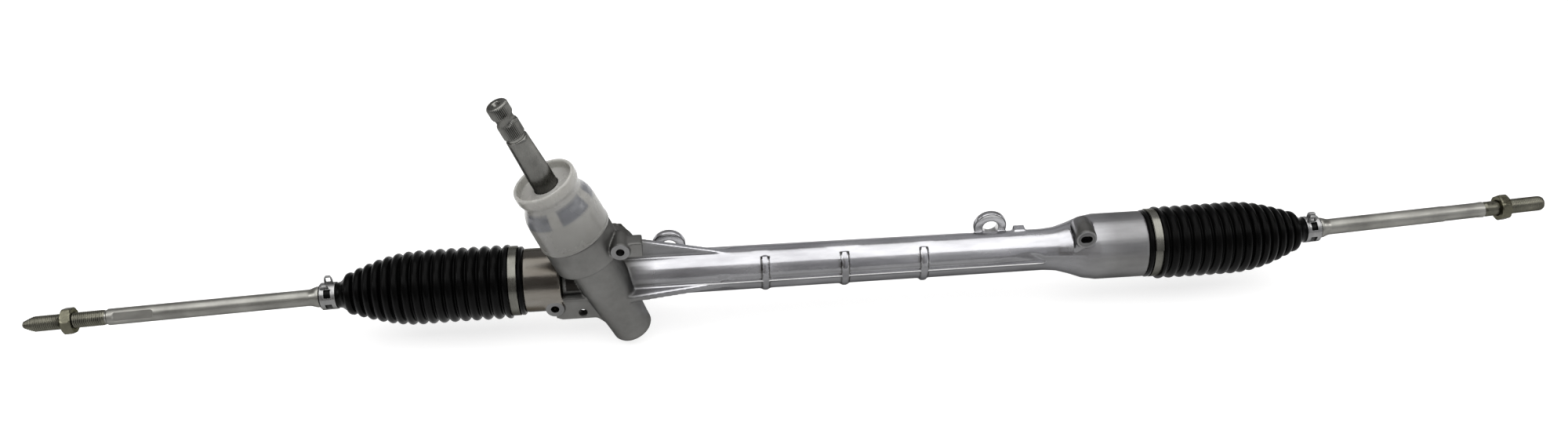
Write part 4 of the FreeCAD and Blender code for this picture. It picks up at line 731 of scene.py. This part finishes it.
def boot_path(side):
    """Functions that give the bent axis of one boot and its heading, from 0 to 1."""
    sign = OUTWARD[side]
    start = Vector((LIP[side] + sign * FIRST_FOLD, 0, 0))
    ball, out = rod_axis(side)
    span = ball + out * (CUFF_MIDDLE[side] - CUFF_HALF - SHOULDER) - start
    along = Vector((sign, 0, 0))
    side_step = span - along * span.dot(along)

    def centre(share):
        return start + along * (span.dot(along) * share) + side_step * share ** BEND

    def heading(share):
        return (centre(share + 0.01) - centre(share - 0.01)).normalized()

    return centre, heading


def fold_sizes(side):
    """Start and width of each fold as shares of the boot's length, and its crest radius."""
    count = FOLDS[side]
    weights = [FOLD_RATIO + (1 - FOLD_RATIO) * i / (count - 1) for i in range(count)]
    total, at, made = sum(weights), 0.0, []
    for i, weight in enumerate(weights):
        grown = sin(min(1.0, (count - i - 1) / GROWING) * pi / 2)
        made.append((at / total, weight / total, CREST_SMALL + (CREST - CREST_SMALL) * grown))
        at += weight
    return made


def boot_rings(side):
    """Centre, heading and radius of every ring of a boot's outer skin, and its fold's number."""
    centre, heading = boot_path(side)
    sign = OUTWARD[side]
    along = Vector((sign, 0, 0))
    big = SEAT_RADIUS + LARGE_CUFF
    lip = Vector((LIP[side], 0, 0))
    rings = [(lip, along, big - 0.9, -1), (lip + along * 0.5, along, big + 0.1, -1),
             (lip + along * 1.2, along, big + 0.75, -1), (lip + along * 3.0, along, big + 0.75, -1),
             (lip + along * 3.6, along, big, -1), (lip + along * BAND_END, along, big, -1)]
    folds = fold_sizes(side)
    steps = 14
    for number, (at, width, crest) in enumerate(folds):
        before = folds[number - 1][2] if number else crest
        after = folds[number + 1][2] if number + 1 < len(folds) else crest
        for step in range(steps):
            t = (step + 0.5) / steps
            share = at + width * t
            if (centre(share) - lip).dot(along) < BAND_END + 0.2:
                continue
            bulge = max(0.0, 1 - (2 * t - 1) ** 2) ** 0.62
            lean = crest + ((after - crest) * max(0.0, t - 0.5) + (before - crest)
                            * max(0.0, 0.5 - t))
            rings.append((centre(share), heading(share), lean - FOLD_DEPTH * (1 - bulge), number))
    return rings


def skin(name, rings, matrix, wall):
    """Closed tube skin from centre, heading and radius rings, with an even wall."""
    around = 96
    loops = []
    for shift, order in ((0.0, rings), (-wall, rings[::-1])):
        for centre, heading, radius in order:
            up = heading.cross(Vector((0, 1, 0))).normalized()
            sideways = up.cross(heading).normalized()
            r = radius + shift
            loops.append([centre + sideways * (r * cos(2 * pi * i / around))
                          + up * (r * sin(2 * pi * i / around)) for i in range(around)])
    return from_rings(name, loops, matrix, closed=True, sharp=60.0)


def boot(side):
    """Bellows in three lengths, from the housing past the rack and the ball to the rod."""
    sign = OUTWARD[side]
    rings = boot_rings(side)
    centre = boot_path(side)[0]
    folds = fold_sizes(side)
    first_cut, second_cut = CUTS
    lengths = {"slide": [], "rise": [], "swing": []}
    for point, heading, radius, number in rings:
        key = "slide" if number < first_cut else "rise" if number < second_cut else "swing"
        lengths[key].append((point, heading, radius))
    lengths["slide"].append(lengths["rise"][0])
    lengths["rise"].append(lengths["swing"][0])
    ball, out = rod_axis(side)
    cuff = ball + out * (CUFF_MIDDLE[side] - CUFF_HALF)
    neck = CUFF_RADIUS + 0.12
    for distance, radius in ((-3.6, neck + 1.6), (-2.4, neck + 0.6), (-0.8, neck + 0.15),
                             (0.0, neck), (13.4, neck), (14.0, neck - 0.5)):
        lengths["swing"].append((cuff + out * distance, out, radius))
    starts = [Vector((LIP[side] + sign * 9.0, 0, 0)),
              centre(folds[first_cut][0]), centre(folds[second_cut][0]), cuff]
    seat_body, rod_body = "%s_seat" % side, "%s_rod" % side
    chain = (("slide", "housing", "rack"), ("rise", "rack", seat_body),
             ("swing", seat_body, rod_body))
    for (key, one, other), start, end in zip(chain, starts, starts[1:]):
        piece = skin("boot_%s_%s" % (side, key), lengths[key], seat(), RUBBER)
        coat(piece, "boot_rubber")
        place(*start)
        place(*end)
        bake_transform(piece)
        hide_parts("boot_%s" % side)


def arc_strip(name, radius, near, far, begin, sweep, thickness, matrix, steps=90):
    """Band of flat strip bent round X from one angle on, in degrees."""
    over = radius + thickness
    section = ((near, radius), (near + 0.15, over), (far - 0.15, over), (far, radius))
    rings = []
    for i in range(steps + 1):
        angle = radians(begin + sweep * i / steps)
        rings.append([(x, r * cos(angle), r * sin(angle)) for x, r in section])
    return from_rings(name, rings, matrix)


CLAMP_NEAR, CLAMP_FAR = 4.2, 10.7
CLAMP_THICKNESS = 0.8
# First angle and sweep of the overlapped end, in degrees
LAP = {"left": (189, 120), "right": (156, -120)}


def large_clamp(side):
    """Flat steel band with its overlapped end."""
    radius = SEAT_RADIUS + LARGE_CUFF + 0.02
    over = radius + CLAMP_THICKNESS
    matrix = rack_seat(LIP[side], side)
    band = soften([(CLAMP_NEAR, radius), (CLAMP_NEAR, over), (CLAMP_FAR, over),
                   (CLAMP_FAR, radius)], 0.25, 2, closed=True)
    parts = [lathe("band_%s" % side, band, matrix, 144, closed=True)]
    begin, sweep = LAP[side]
    parts.append(arc_strip("lap_%s" % side, radius + 0.78, 4.35, 10.55, begin, sweep, 0.75, matrix))
    piece = join("large_band_%s" % side, parts)
    add(piece, "bright_steel", "bright_steel", "housing", "large_clamp_%s" % side)


CLIP_LENGTH = 11.6
CLIP_SHIFT = 0.1
CLIP_RADIUS = 10.0
CLIP_THICKNESS = 0.9
# Shares of the clip's width at which its strip is cut, the windows between the third and fifth
CLIP_ROWS = (0.0, 0.06, 0.27, 0.5, 0.71, 0.94, 1.0)
CELLS = 5
CELL_FIRST, CELL_PITCH, CELL_REACH = 42, 69, 19
EAR_SPAN = {"left": (1.7, 8.1), "right": (0.7, 7.7)}
TALL_EAR, SHORT_EAR, EAR_HOLE = 7.4, 4.6, 3.6


def clip_near(side):
    """Near edge of the small clamp along its rod."""
    return CUFF_MIDDLE[side] + CLIP_SHIFT - CLIP_LENGTH / 2


def clip_cells(side):
    """First and last angle of each window of the small clamp, in degrees."""
    up = -90.0 if side == "left" else 90.0
    middles = [up + CELL_FIRST + CELL_PITCH * i for i in range(CELLS)]
    return [(middle - CELL_REACH, middle + CELL_REACH) for middle in middles]


def windowed_band(name, side, matrix):
    """Strip with rectangular windows, bent round the cuff."""
    low, high = CLIP_ROWS[2], CLIP_ROWS[4]
    cells = clip_cells(side)
    work = bmesh.new()
    steps = 180
    grid = []
    for i in range(steps):
        angle = radians(360.0 * i / steps)
        row = []
        for share in CLIP_ROWS:
            x = clip_near(side) + CLIP_LENGTH * share
            row.append(work.verts.new((x, CLIP_RADIUS * cos(angle), CLIP_RADIUS * sin(angle))))
        grid.append(row)
    for i in range(steps):
        middle = 360.0 * (i + 0.5) / steps
        open_here = any((middle - first) % 360.0 < last - first for first, last in cells)
        for k in range(len(CLIP_ROWS) - 1):
            share = (CLIP_ROWS[k] + CLIP_ROWS[k + 1]) / 2
            if not (open_here and low < share < high):
                j = (i + 1) % steps
                work.faces.new((grid[i][k], grid[i][k + 1], grid[j][k + 1], grid[j][k]))
    loose = [vertex for vertex in work.verts if not vertex.link_faces]
    bmesh.ops.delete(work, geom=loose, context="VERTS")
    bmesh.ops.transform(work, matrix=matrix, verts=work.verts)
    piece = from_work(name, work)
    thicken(piece, CLIP_THICKNESS)
    edge = piece.modifiers.new("edge", "BEVEL")
    edge.width = 0.15 * MM
    edge.segments = 2
    edge.limit_method = "ANGLE"
    return apply_modifiers(piece)


def closed_loop(work, points):
    """Closed loop of edges through flat (x, z) points."""
    made = [work.verts.new((x, 0, z)) for x, z in points]
    return [work.edges.new((made[i], made[(i + 1) % len(made)])) for i in range(len(made))]


def tab(name, near, far, foot, height, tilt, hole, matrix, thickness=1.0):
    """Upright ear of a clamp, with rounded shoulders and a square hole if it has one."""
    outline = [(near, foot), (near, foot + height * 0.55), (near + 1.0, foot + height),
               (far - 1.0, foot + height), (far, foot + height * 0.55), (far, foot)]
    outline = soften(outline, 1.2, 3)
    work = bmesh.new()
    edges = closed_loop(work, outline)
    if hole:
        middle, level, half = (near + far) / 2, foot + height * 0.55, hole / 2
        corners = [(middle - half, level - half), (middle - half, level + half),
                   (middle + half, level + half), (middle + half, level - half)]
        edges += closed_loop(work, soften(corners, 0.5, 2, closed=True))
    bmesh.ops.triangle_fill(work, edges=edges, use_beauty=True)
    bmesh.ops.transform(work, matrix=matrix @ tilt, verts=work.verts)
    piece = from_work(name, work)
    thicken(piece, thickness)
    return apply_modifiers(piece)


def small_clamp(side):
    """Spring band with windows and two ears that stand up on top."""
    matrix = rod_seat(side)
    over = 180.0 if side == "left" else 0.0
    parts = [windowed_band("clip_band_%s" % side, side, matrix)]
    front = spin(over + 10, "X") @ Matrix.Translation((0, -1.2, 0))
    rear = spin(over - 12, "X") @ Matrix.Translation((0, 1.4, 0))
    near, far = (clip_near(side) + edge for edge in EAR_SPAN[side])
    foot = CLIP_RADIUS - 0.6
    parts.append(tab("clip_ear_front_%s" % side, near, far, foot, TALL_EAR, front, EAR_HOLE, matrix))
    parts.append(tab("clip_ear_rear_%s" % side, near + 2.6, far + 2.8, foot, SHORT_EAR, rear,
                     0, matrix))
    piece = join("spring_clip_%s" % side, parts)
    add(piece, "clip_steel", "bright_steel", "%s_rod" % side, "small_clamp_%s" % side)


# Tie rods

ROD = {
    "left": {"flats": 208.0, "thread": 245.0, "tip": 307.5, "nut": 268.6},
    "right": {"flats": 183.0, "thread": 217.5, "tip": 269.8, "nut": 230.1},
}
THREAD_PITCH = 1.5
THREAD_RADIUS = 6.0
THREAD_DEPTH = 0.62
# Share of the thread's depth on the right rod, whose end looks nearly plain
RIGHT_THREAD = 0.4
ROD_RADIUS = 6.3
BALL_RADIUS = 11.4
FLATS_DEPTH = 0.9
FLATS_LENGTH = 31
FLATS_TURN = 35
NUT_HEIGHT = 8.3
NUT_HALF = 9.5
NUT_BORE = 5.75
NUT_TURN = {"left": 30.0, "right": 12.0}
YOKE_NUT_HALF = 17.0
YOKE_NUT_BORE = 15.0


def tip_shape(side):
    """Radius over the thread near the rod's end: a long taper left, a blunt dome right."""
    tip = ROD[side]["tip"]
    if side == "left":
        return [(tip - 9.0, THREAD_RADIUS), (tip - 6.0, 5.0), (tip - 2.8, 3.7), (tip - 0.8, 2.8),
                (tip, 1.7)]
    return [(tip - 4.0, THREAD_RADIUS), (tip - 2.4, 5.75), (tip - 1.0, 5.0), (tip - 0.2, 3.9),
            (tip, 2.9)]


def value_at(points, x):
    """Value at x on a line through points."""
    if x <= points[0][0]:
        return points[0][1]
    for (x0, r0), (x1, r1) in zip(points, points[1:]):
        if x <= x1:
            return r0 + (r1 - r0) * (x - x0) / (x1 - x0)
    return points[-1][1]


def thread(side, matrix):
    """Threaded end of a rod, cut as a real helix."""
    start, tip = ROD[side]["thread"], ROD[side]["tip"]
    cut_start = start if side == "left" else ROD[side]["nut"] + NUT_HEIGHT
    shape = [(start, 5.3), (start + 2.0, THREAD_RADIUS)] + tip_shape(side)
    around = 48
    steps = int(ceil((tip - start) / THREAD_PITCH * 8))
    rings = []
    for k in range(steps + 1):
        x = start + (tip - start) * k / steps
        cover = value_at(shape, x)
        fade = min(1.0, max(0.0, x - cut_start) / 2.5, max(0.0, tip - x) / 3.0)
        if side == "right":
            fade *= RIGHT_THREAD
        ring = []
        for i in range(around):
            angle = 2 * pi * i / around
            turn = (x / THREAD_PITCH - i / around) % 1.0
            cut = THREAD_DEPTH * fade * abs(2 * turn - 1)
            r = cover - cut
            ring.append((x, r * cos(angle), r * sin(angle)))
        rings.append(ring)
    rings.append([(tip, 0.0, 0.0)])
    return from_rings("thread_%s" % side, rings, matrix, sharp=50.0)


def tie_rod(side):
    """Rod from its ball to the thread, with wrench flats."""
    flats, start = ROD[side]["flats"], ROD[side]["thread"]
    near, far = CUFF_MIDDLE[side] - CUFF_HALF, CUFF_MIDDLE[side] + CUFF_HALF
    outline = [(BALL_RADIUS * cos(pi - pi * i / 24), BALL_RADIUS * sin(pi - pi * i / 24))
               for i in range(20)]
    outline += soften([(9.9, 5.7), (27.4, 5.7), (35.4, ROD_RADIUS), (near - 8, ROD_RADIUS),
                       (near - 3, 8.1), (near - 0.4, 8.1), (near, 7.4), (far, 7.4),
                       (far + 0.6, 8.0), (far + 3.0, 8.0), (far + 8.0, ROD_RADIUS),
                       (flats - 6, ROD_RADIUS)], 1.6)
    for k in range(61):
        outline.append((flats - 3 + 37 * k / 60, ROD_RADIUS))
    outline += [(start - 2.0, 6.25), (start - 1.2, 5.6), (start, 5.3)]
    rings = []
    for x, radius in outline:
        ring = []
        for _, y, z in ring_at(x, radius, 72):
            corner = spin(-FLATS_TURN, "X") @ Vector((x, y, z))
            reach = min(x - flats, flats + FLATS_LENGTH - x)
            if reach > 0:
                limit = ROD_RADIUS - min(FLATS_DEPTH, reach * 0.9)
                corner.y = max(-limit, min(limit, corner.y))
            ring.append(spin(FLATS_TURN, "X") @ corner)
        rings.append(ring if radius > 1e-6 else ring[:1])
    matrix = rod_seat(side)
    shank = from_rings("rod_shank_%s" % side, rings, matrix, sharp=24.0)
    add(shank, "rod_steel", "rod_steel", "%s_rod" % side, "tie_rod_%s" % side)
    add(thread(side, matrix), "thread_steel", "rod_steel", "%s_rod" % side)


def hex_nut(name, matrix, near, height, half, bore, begin):
    """Hexagon nut about X with domed corners and a chamfered bore."""
    far = near + height
    corner = half / cos(pi / 6)
    around = 120
    dome = [(0.0, half - 0.5), (0.35, half - 0.1), (0.9, half + 0.7), (1.7, corner + 0.2)]
    levels = [(near + rise, radius) for rise, radius in dome]
    levels += [(near + height * share, corner + 0.2) for share in (0.4, 0.6)]
    levels += [(far - rise, radius) for rise, radius in dome[::-1]]
    rings = [ring_at(near, bore + 0.85, around)]
    for x, limit in levels:
        def radius(angle, limit=limit):
            local = (angle - radians(begin)) % (pi / 3) - pi / 6
            return min(limit, half / cos(local), corner - 0.18)
        rings.append(ring_at(x, radius, around))
    rings += [ring_at(far, bore + 0.85, around), ring_at(far - 0.7, bore, around),
              ring_at(near + 0.7, bore, around)]
    return from_rings(name, rings, matrix, closed=True, sharp=24.0)


def lock_nut(side):
    """Nut that locks the rod's end."""
    piece = hex_nut("hex_nut_%s" % side, rod_seat(side), ROD[side]["nut"], NUT_HEIGHT, NUT_HALF,
                    NUT_BORE, NUT_TURN[side])
    add(piece, "zinc_steel", "zinc_steel", "%s_nut" % side, "lock_nut_%s" % side)


def yoke_nut():
    """Flat nut that locks the yoke's plug, hidden from the front by its boss."""
    corners = frame["nodes"]["yoke_lock_nut"].bound_box
    low = [min(corner[i] for corner in corners) / MM + ORIGIN[i] for i in range(3)]
    high = [max(corner[i] for corner in corners) / MM + ORIGIN[i] for i in range(3)]
    seat_at = facing_back((low[0] + high[0]) / 2, low[1], (low[2] + high[2]) / 2)
    piece = hex_nut("yoke_nut", seat_at, 0.0, high[1] - low[1], YOKE_NUT_HALF, YOKE_NUT_BORE, 0.0)
    add(piece, "dark_steel", "zinc_steel", "housing", "yoke_lock_nut")


# Input shaft and dust cover

SHAFT_CUT = 106.0
SHAFT_RADIUS = 9.2
HEAD_RADIUS = 8.1
TAPER_START, TAPER_LENGTH, TAPER_FALL = 117.2, 33.8, 1.1
GROOVE_ANGLE, GROOVE_DEPTH, GROOVE_HALF = radians(-62.0), 0.55, radians(6.0)
SPLINE_TEETH = 36


def serrated(radius, depth):
    """Radius with V-shaped serrations round it."""
    def at(angle):
        return radius - depth * abs(2 * ((angle * SPLINE_TEETH / (2 * pi)) % 1.0) - 1)
    return at


def grooved(radius):
    """Radius with the one long groove of the shaft."""
    def at(angle):
        away = abs((angle - GROOVE_ANGLE + pi) % (2 * pi) - pi)
        return radius - GROOVE_DEPTH * max(0.0, 1 - away / GROOVE_HALF) ** 0.5
    return at


def input_shaft():
    """Shaft above the cover with its two serrated bands, grooves and centre hole."""
    around = SPLINE_TEETH * 6
    rings = [ring_at(SHAFT_CUT, SHAFT_RADIUS, around), ring_at(TAPER_START, SHAFT_RADIUS, around)]
    for k in range(13):
        s = 118.0 + (151.0 - 118.0) * k / 12
        radius = SHAFT_RADIUS - TAPER_FALL * (s - TAPER_START) / TAPER_LENGTH
        rings.append(ring_at(s, grooved(radius), around))
    rings += [ring_at(151.4, 7.9, around), ring_at(151.6, 7.1, around),
              ring_at(153.9, 7.1, around), ring_at(154.1, 7.4, around)]
    head = HEAD_RADIUS
    for s, radius, depth in ((154.8, head, 0.35), (155.4, head, 0.7), (164.6, head, 0.7),
                             (165.6, 7.8, 0.5), (166.8, 7.0, 0.1), (168.2, 6.65, 0.0),
                             (169.8, 6.65, 0.0), (171.2, 7.0, 0.1), (172.4, 7.8, 0.5),
                             (173.2, head, 0.7), (180.3, head, 0.7), (181.0, 7.8, 0.5),
                             (181.7, 7.1, 0.1)):
        rings.append(ring_at(s, serrated(radius, depth), around))
    for s, radius in ((182.0, 6.5), (182.0, 3.4), (181.6, 2.7), (176.0, 2.6), (174.5, 0.0)):
        rings.append(ring_at(s, radius, around))
    upper = from_rings("shaft_head", rings, pinion_seat(), sharp=24.0)
    lower = copy_of("pinion_shaft", "shaft_foot")
    work = bmesh.new()
    work.from_mesh(lower.data)
    point = pinion_seat() @ Vector((SHAFT_CUT, 0, 0))
    normal = (pinion_seat().to_3x3() @ Vector((1, 0, 0))).normalized()
    bmesh.ops.bisect_plane(work, geom=work.verts[:] + work.edges[:] + work.faces[:],
                           plane_co=point, plane_no=normal, clear_outer=True, dist=1e-7)
    work.to_mesh(lower.data)
    work.free()
    piece = join("input_shaft", [upper, lower])
    add(piece, "shaft_steel", "dark_steel", "pinion", "pinion_shaft")


COVER_FOOT = 59.5
COVER_TOP = 111.2
COVER_WINDOWS = 5
WINDOW_TURN = radians(36.0)
WINDOW_LEVELS = (24.0, 37.6)
WINDOW_HALF = radians(28.5)
WINDOW_RADIUS = 26.0
WINDOW_BORDER = 1.6
WINDOW_THINNING = 1.2
CUP_DEPTH = 6.2
COVER_WALL = 2.2
COVER_BORE = 9.7


def cover_outside():
    """Outer outline of the dust cover from its foot over the collar down to the cup's floor."""
    z, top = COVER_FOOT, COVER_TOP
    return soften([(z, 27.2), (z + 0.4, 27.8), (z + 2.4, 27.8), (z + 2.8, 27.5), (z + 21.0, 27.2),
                   (z + 26.5, 26.7), (z + 30.5, 25.4), (z + 34.0, 23.4), (z + 37.5, 22.5),
                   (z + 41.0, 22.6), (z + 43.6, 23.8), (z + 45.0, 24.1), (top - 1.4, 24.1),
                   (top, 23.4), (top, 21.8), (top - 0.9, 21.3), (top - CUP_DEPTH, 20.9),
                   (top - CUP_DEPTH, 10.9), (top - CUP_DEPTH + 0.8, 10.2),
                   (top - CUP_DEPTH + 0.8, COVER_BORE)], 0.8, 3)


def window_share(s, angle):
    """1 inside a thin window of the cover, 0 outside, with soft borders."""
    low, high = WINDOW_LEVELS
    step = 2 * pi / COVER_WINDOWS
    away = abs((angle + WINDOW_TURN) % step - step / 2)
    inside = min(s - COVER_FOOT - low, high - s + COVER_FOOT,
                 (WINDOW_HALF - away) * WINDOW_RADIUS)
    return max(0.0, min(1.0, inside / WINDOW_BORDER))


def dust_cover():
    """Milky cover with a beaded collar and thin windows."""
    around = 180
    outside = cover_outside()
    refined = []
    for (s0, r0), (s1, r1) in zip(outside, outside[1:]):
        count = max(1, int(abs(s1 - s0) / 1.0))
        for k in range(count):
            refined.append((s0 + (s1 - s0) * k / count, r0 + (r1 - r0) * k / count))
    refined.append(outside[-1])
    rings = [ring_at(s, r, around) for s, r in refined]
    floor_under = COVER_TOP - CUP_DEPTH - COVER_WALL
    inner = [(s, r - COVER_WALL) for s, r in refined if r > 21.9 and s < floor_under - 1.0]
    rings.append(ring_at(floor_under, COVER_BORE, around))
    rings.append(ring_at(floor_under, 20.0, around))
    for s, r in inner[::-1]:
        def radius(angle, s=s, r=r):
            return r + WINDOW_THINNING * window_share(s, angle)
        rings.append(ring_at(s, radius, around))
    piece = from_rings("cover_shell", rings, pinion_seat(), closed=True)
    back = pinion_seat().inverted()
    spots = [back @ vertex.co for vertex in piece.data.vertices]
    # Masks for the painted shade at the windows and towards the foot
    keep_values(piece, "window", [window_share(at.x, atan2(at.z, at.y)) for at in spots])
    keep_values(piece, "height", [(at.x - COVER_FOOT) / (COVER_TOP - COVER_FOOT) for at in spots])
    add(piece, "milky_plastic", "milky_plastic", "housing", "dust_cover")


# CAD nodes that stay

def carried_over():
    """Give every remaining CAD node the material of its slot."""
    own = {"yoke_plug": "machined_aluminium", "slot_sleeve": "sleeve_steel"}
    slots = {part["node"]: part["material_slot"] for part in frame["record"]["subparts"]}
    for name, node in frame["nodes"].items():
        node.data.materials.clear()
        node.data.materials.append(MATERIALS[own.get(name, slots[name])])


# Studio

FLOOR_HALF = 60.0
FLOOR_GAP = 0.002


def floor():
    """Floor that the camera and mirrors see as white but for the object's shadow.

    Its glow grows away from the object, where the lamps light it less.
    """
    low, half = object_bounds()[0].z - FLOOR_GAP, FLOOR_HALF
    mesh = bpy.data.meshes.new("floor")
    mesh.from_pydata([(-half, -half, low), (half, -half, low), (half, half, low),
                      (-half, half, low)], [], [(0, 1, 2, 3)])
    piece = link("floor", mesh)
    s = Shade("floor_white")
    s.set(Roughness=0.9, Specular_IOR_Level=0.0)
    s.colour(s.ramp(s.noise(3.0, 2.0), [(0.3, (0.50, 0.50, 0.50)), (0.7, (0.52, 0.52, 0.52))]))
    path = s.nodes.new("ShaderNodeLightPath")
    seen = s.greater(path.outputs["Is Camera Ray"], path.outputs["Is Glossy Ray"])
    seen = s.greater(seen, path.outputs["Is Transmission Ray"])
    around = s.nodes.new("ShaderNodeTexGradient")
    around.gradient_type = "SPHERICAL"
    s.links.new(s.mapped((0.45, 0.45, 0.45)), around.inputs["Vector"])
    glow = s.nodes.new("ShaderNodeEmission")
    s.links.new(s.levels(around.outputs["Fac"], 1.0, 0.75, 0.0, 0.75), glow.inputs["Strength"])
    added = s.nodes.new("ShaderNodeAddShader")
    mix = s.nodes.new("ShaderNodeMixShader")
    s.links.new(s.shader.outputs[0], added.inputs[0])
    s.links.new(glow.outputs[0], added.inputs[1])
    s.links.new(seen, mix.inputs[0])
    s.links.new(s.shader.outputs[0], mix.inputs[1])
    s.links.new(added.outputs[0], mix.inputs[2])
    s.links.new(mix.outputs[0], s.nodes["Material Output"].inputs["Surface"])
    mesh.materials.append(s.material)
    piece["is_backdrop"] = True


def world():
    """Dim, slightly uneven room above the floor."""
    made = bpy.data.worlds.new("studio")
    bpy.context.scene.world = made
    made.use_nodes = True
    nodes, links = made.node_tree.nodes, made.node_tree.links
    direction = nodes.new("ShaderNodeTexCoord").outputs["Generated"]
    cloud = nodes.new("ShaderNodeTexNoise")
    cloud.inputs["Scale"].default_value = 1.6
    cloud.inputs["Detail"].default_value = 1.0
    links.new(direction, cloud.inputs["Vector"])
    ramp = nodes.new("ShaderNodeValToRGB")
    ramp.color_ramp.elements[0].position = 0.38
    ramp.color_ramp.elements[0].color = (0.13, 0.12, 0.11, 1.0)
    ramp.color_ramp.elements[1].position = 0.62
    ramp.color_ramp.elements[1].color = (0.42, 0.42, 0.43, 1.0)
    links.new(cloud.outputs["Fac"], ramp.inputs["Fac"])
    links.new(ramp.outputs["Color"], nodes["Background"].inputs["Color"])
    nodes["Background"].inputs["Strength"].default_value = 1.0


def lamp(name, position, target, size, power):
    """Soft rectangular lamp aimed at a point."""
    data = bpy.data.lights.new(name, "AREA")
    data.shape = "RECTANGLE"
    data.size, data.size_y = size
    data.energy = power
    made = link(name, data)
    made.location = position
    aim = Vector(target) - Vector(position)
    made.rotation_euler = aim.to_track_quat("-Z", "Y").to_euler()


def lights():
    """Broad ceiling light with two small lamps that rake the bellows."""
    lamp("ceiling", (0.0, -0.12, 1.45), (0.0, -0.12, 0.0), (2.4, 2.1), 28.0)
    lamp("left", (-1.5, -0.35, 0.95), (-0.2, 0.0, 0.0), (0.5, 0.5), 4.0)
    lamp("right", (1.6, -0.35, 0.95), (0.2, 0.0, 0.0), (0.5, 0.5), 4.0)


# Fitted camera: its place, its axes, its sensor, and its focal length in pixels of the photograph
CAMERA_PLACE = (-0.109077, -0.910501, 0.702516)
CAMERA_RIGHT = (0.996261, -0.086021, -0.008024)
CAMERA_UP = (0.058015, 0.597296, 0.799920)
CAMERA_BACK = (-0.064017, -0.797395, 0.600053)
SENSOR = 36.0
FOCAL_PIXELS = 1876.0
PHOTO_WIDTH = 2000.0


def camera():
    """Camera at the photograph's place, with its lens."""
    data = bpy.data.cameras.new("camera")
    data.sensor_width = SENSOR
    data.lens = SENSOR * FOCAL_PIXELS / PHOTO_WIDTH
    data.clip_start = 0.05
    view = link("camera", data)
    axes = (Vector(CAMERA_RIGHT), Vector(CAMERA_UP), Vector(CAMERA_BACK))
    turned = Matrix(axes).transposed().to_4x4()
    view.matrix_world = Matrix.Translation(CAMERA_PLACE) @ turned
    bpy.context.scene.camera = view


carried_over()
housing()
parting_line()
machined_faces()
for side in SIDES:
    boot(side)
    large_clamp(side)
    small_clamp(side)
    tie_rod(side)
    lock_nut(side)
yoke_nut()
input_shaft()
dust_cover()
floor()
world()
lights()
camera()
bpy.context.scene.view_settings.view_transform = "Standard"
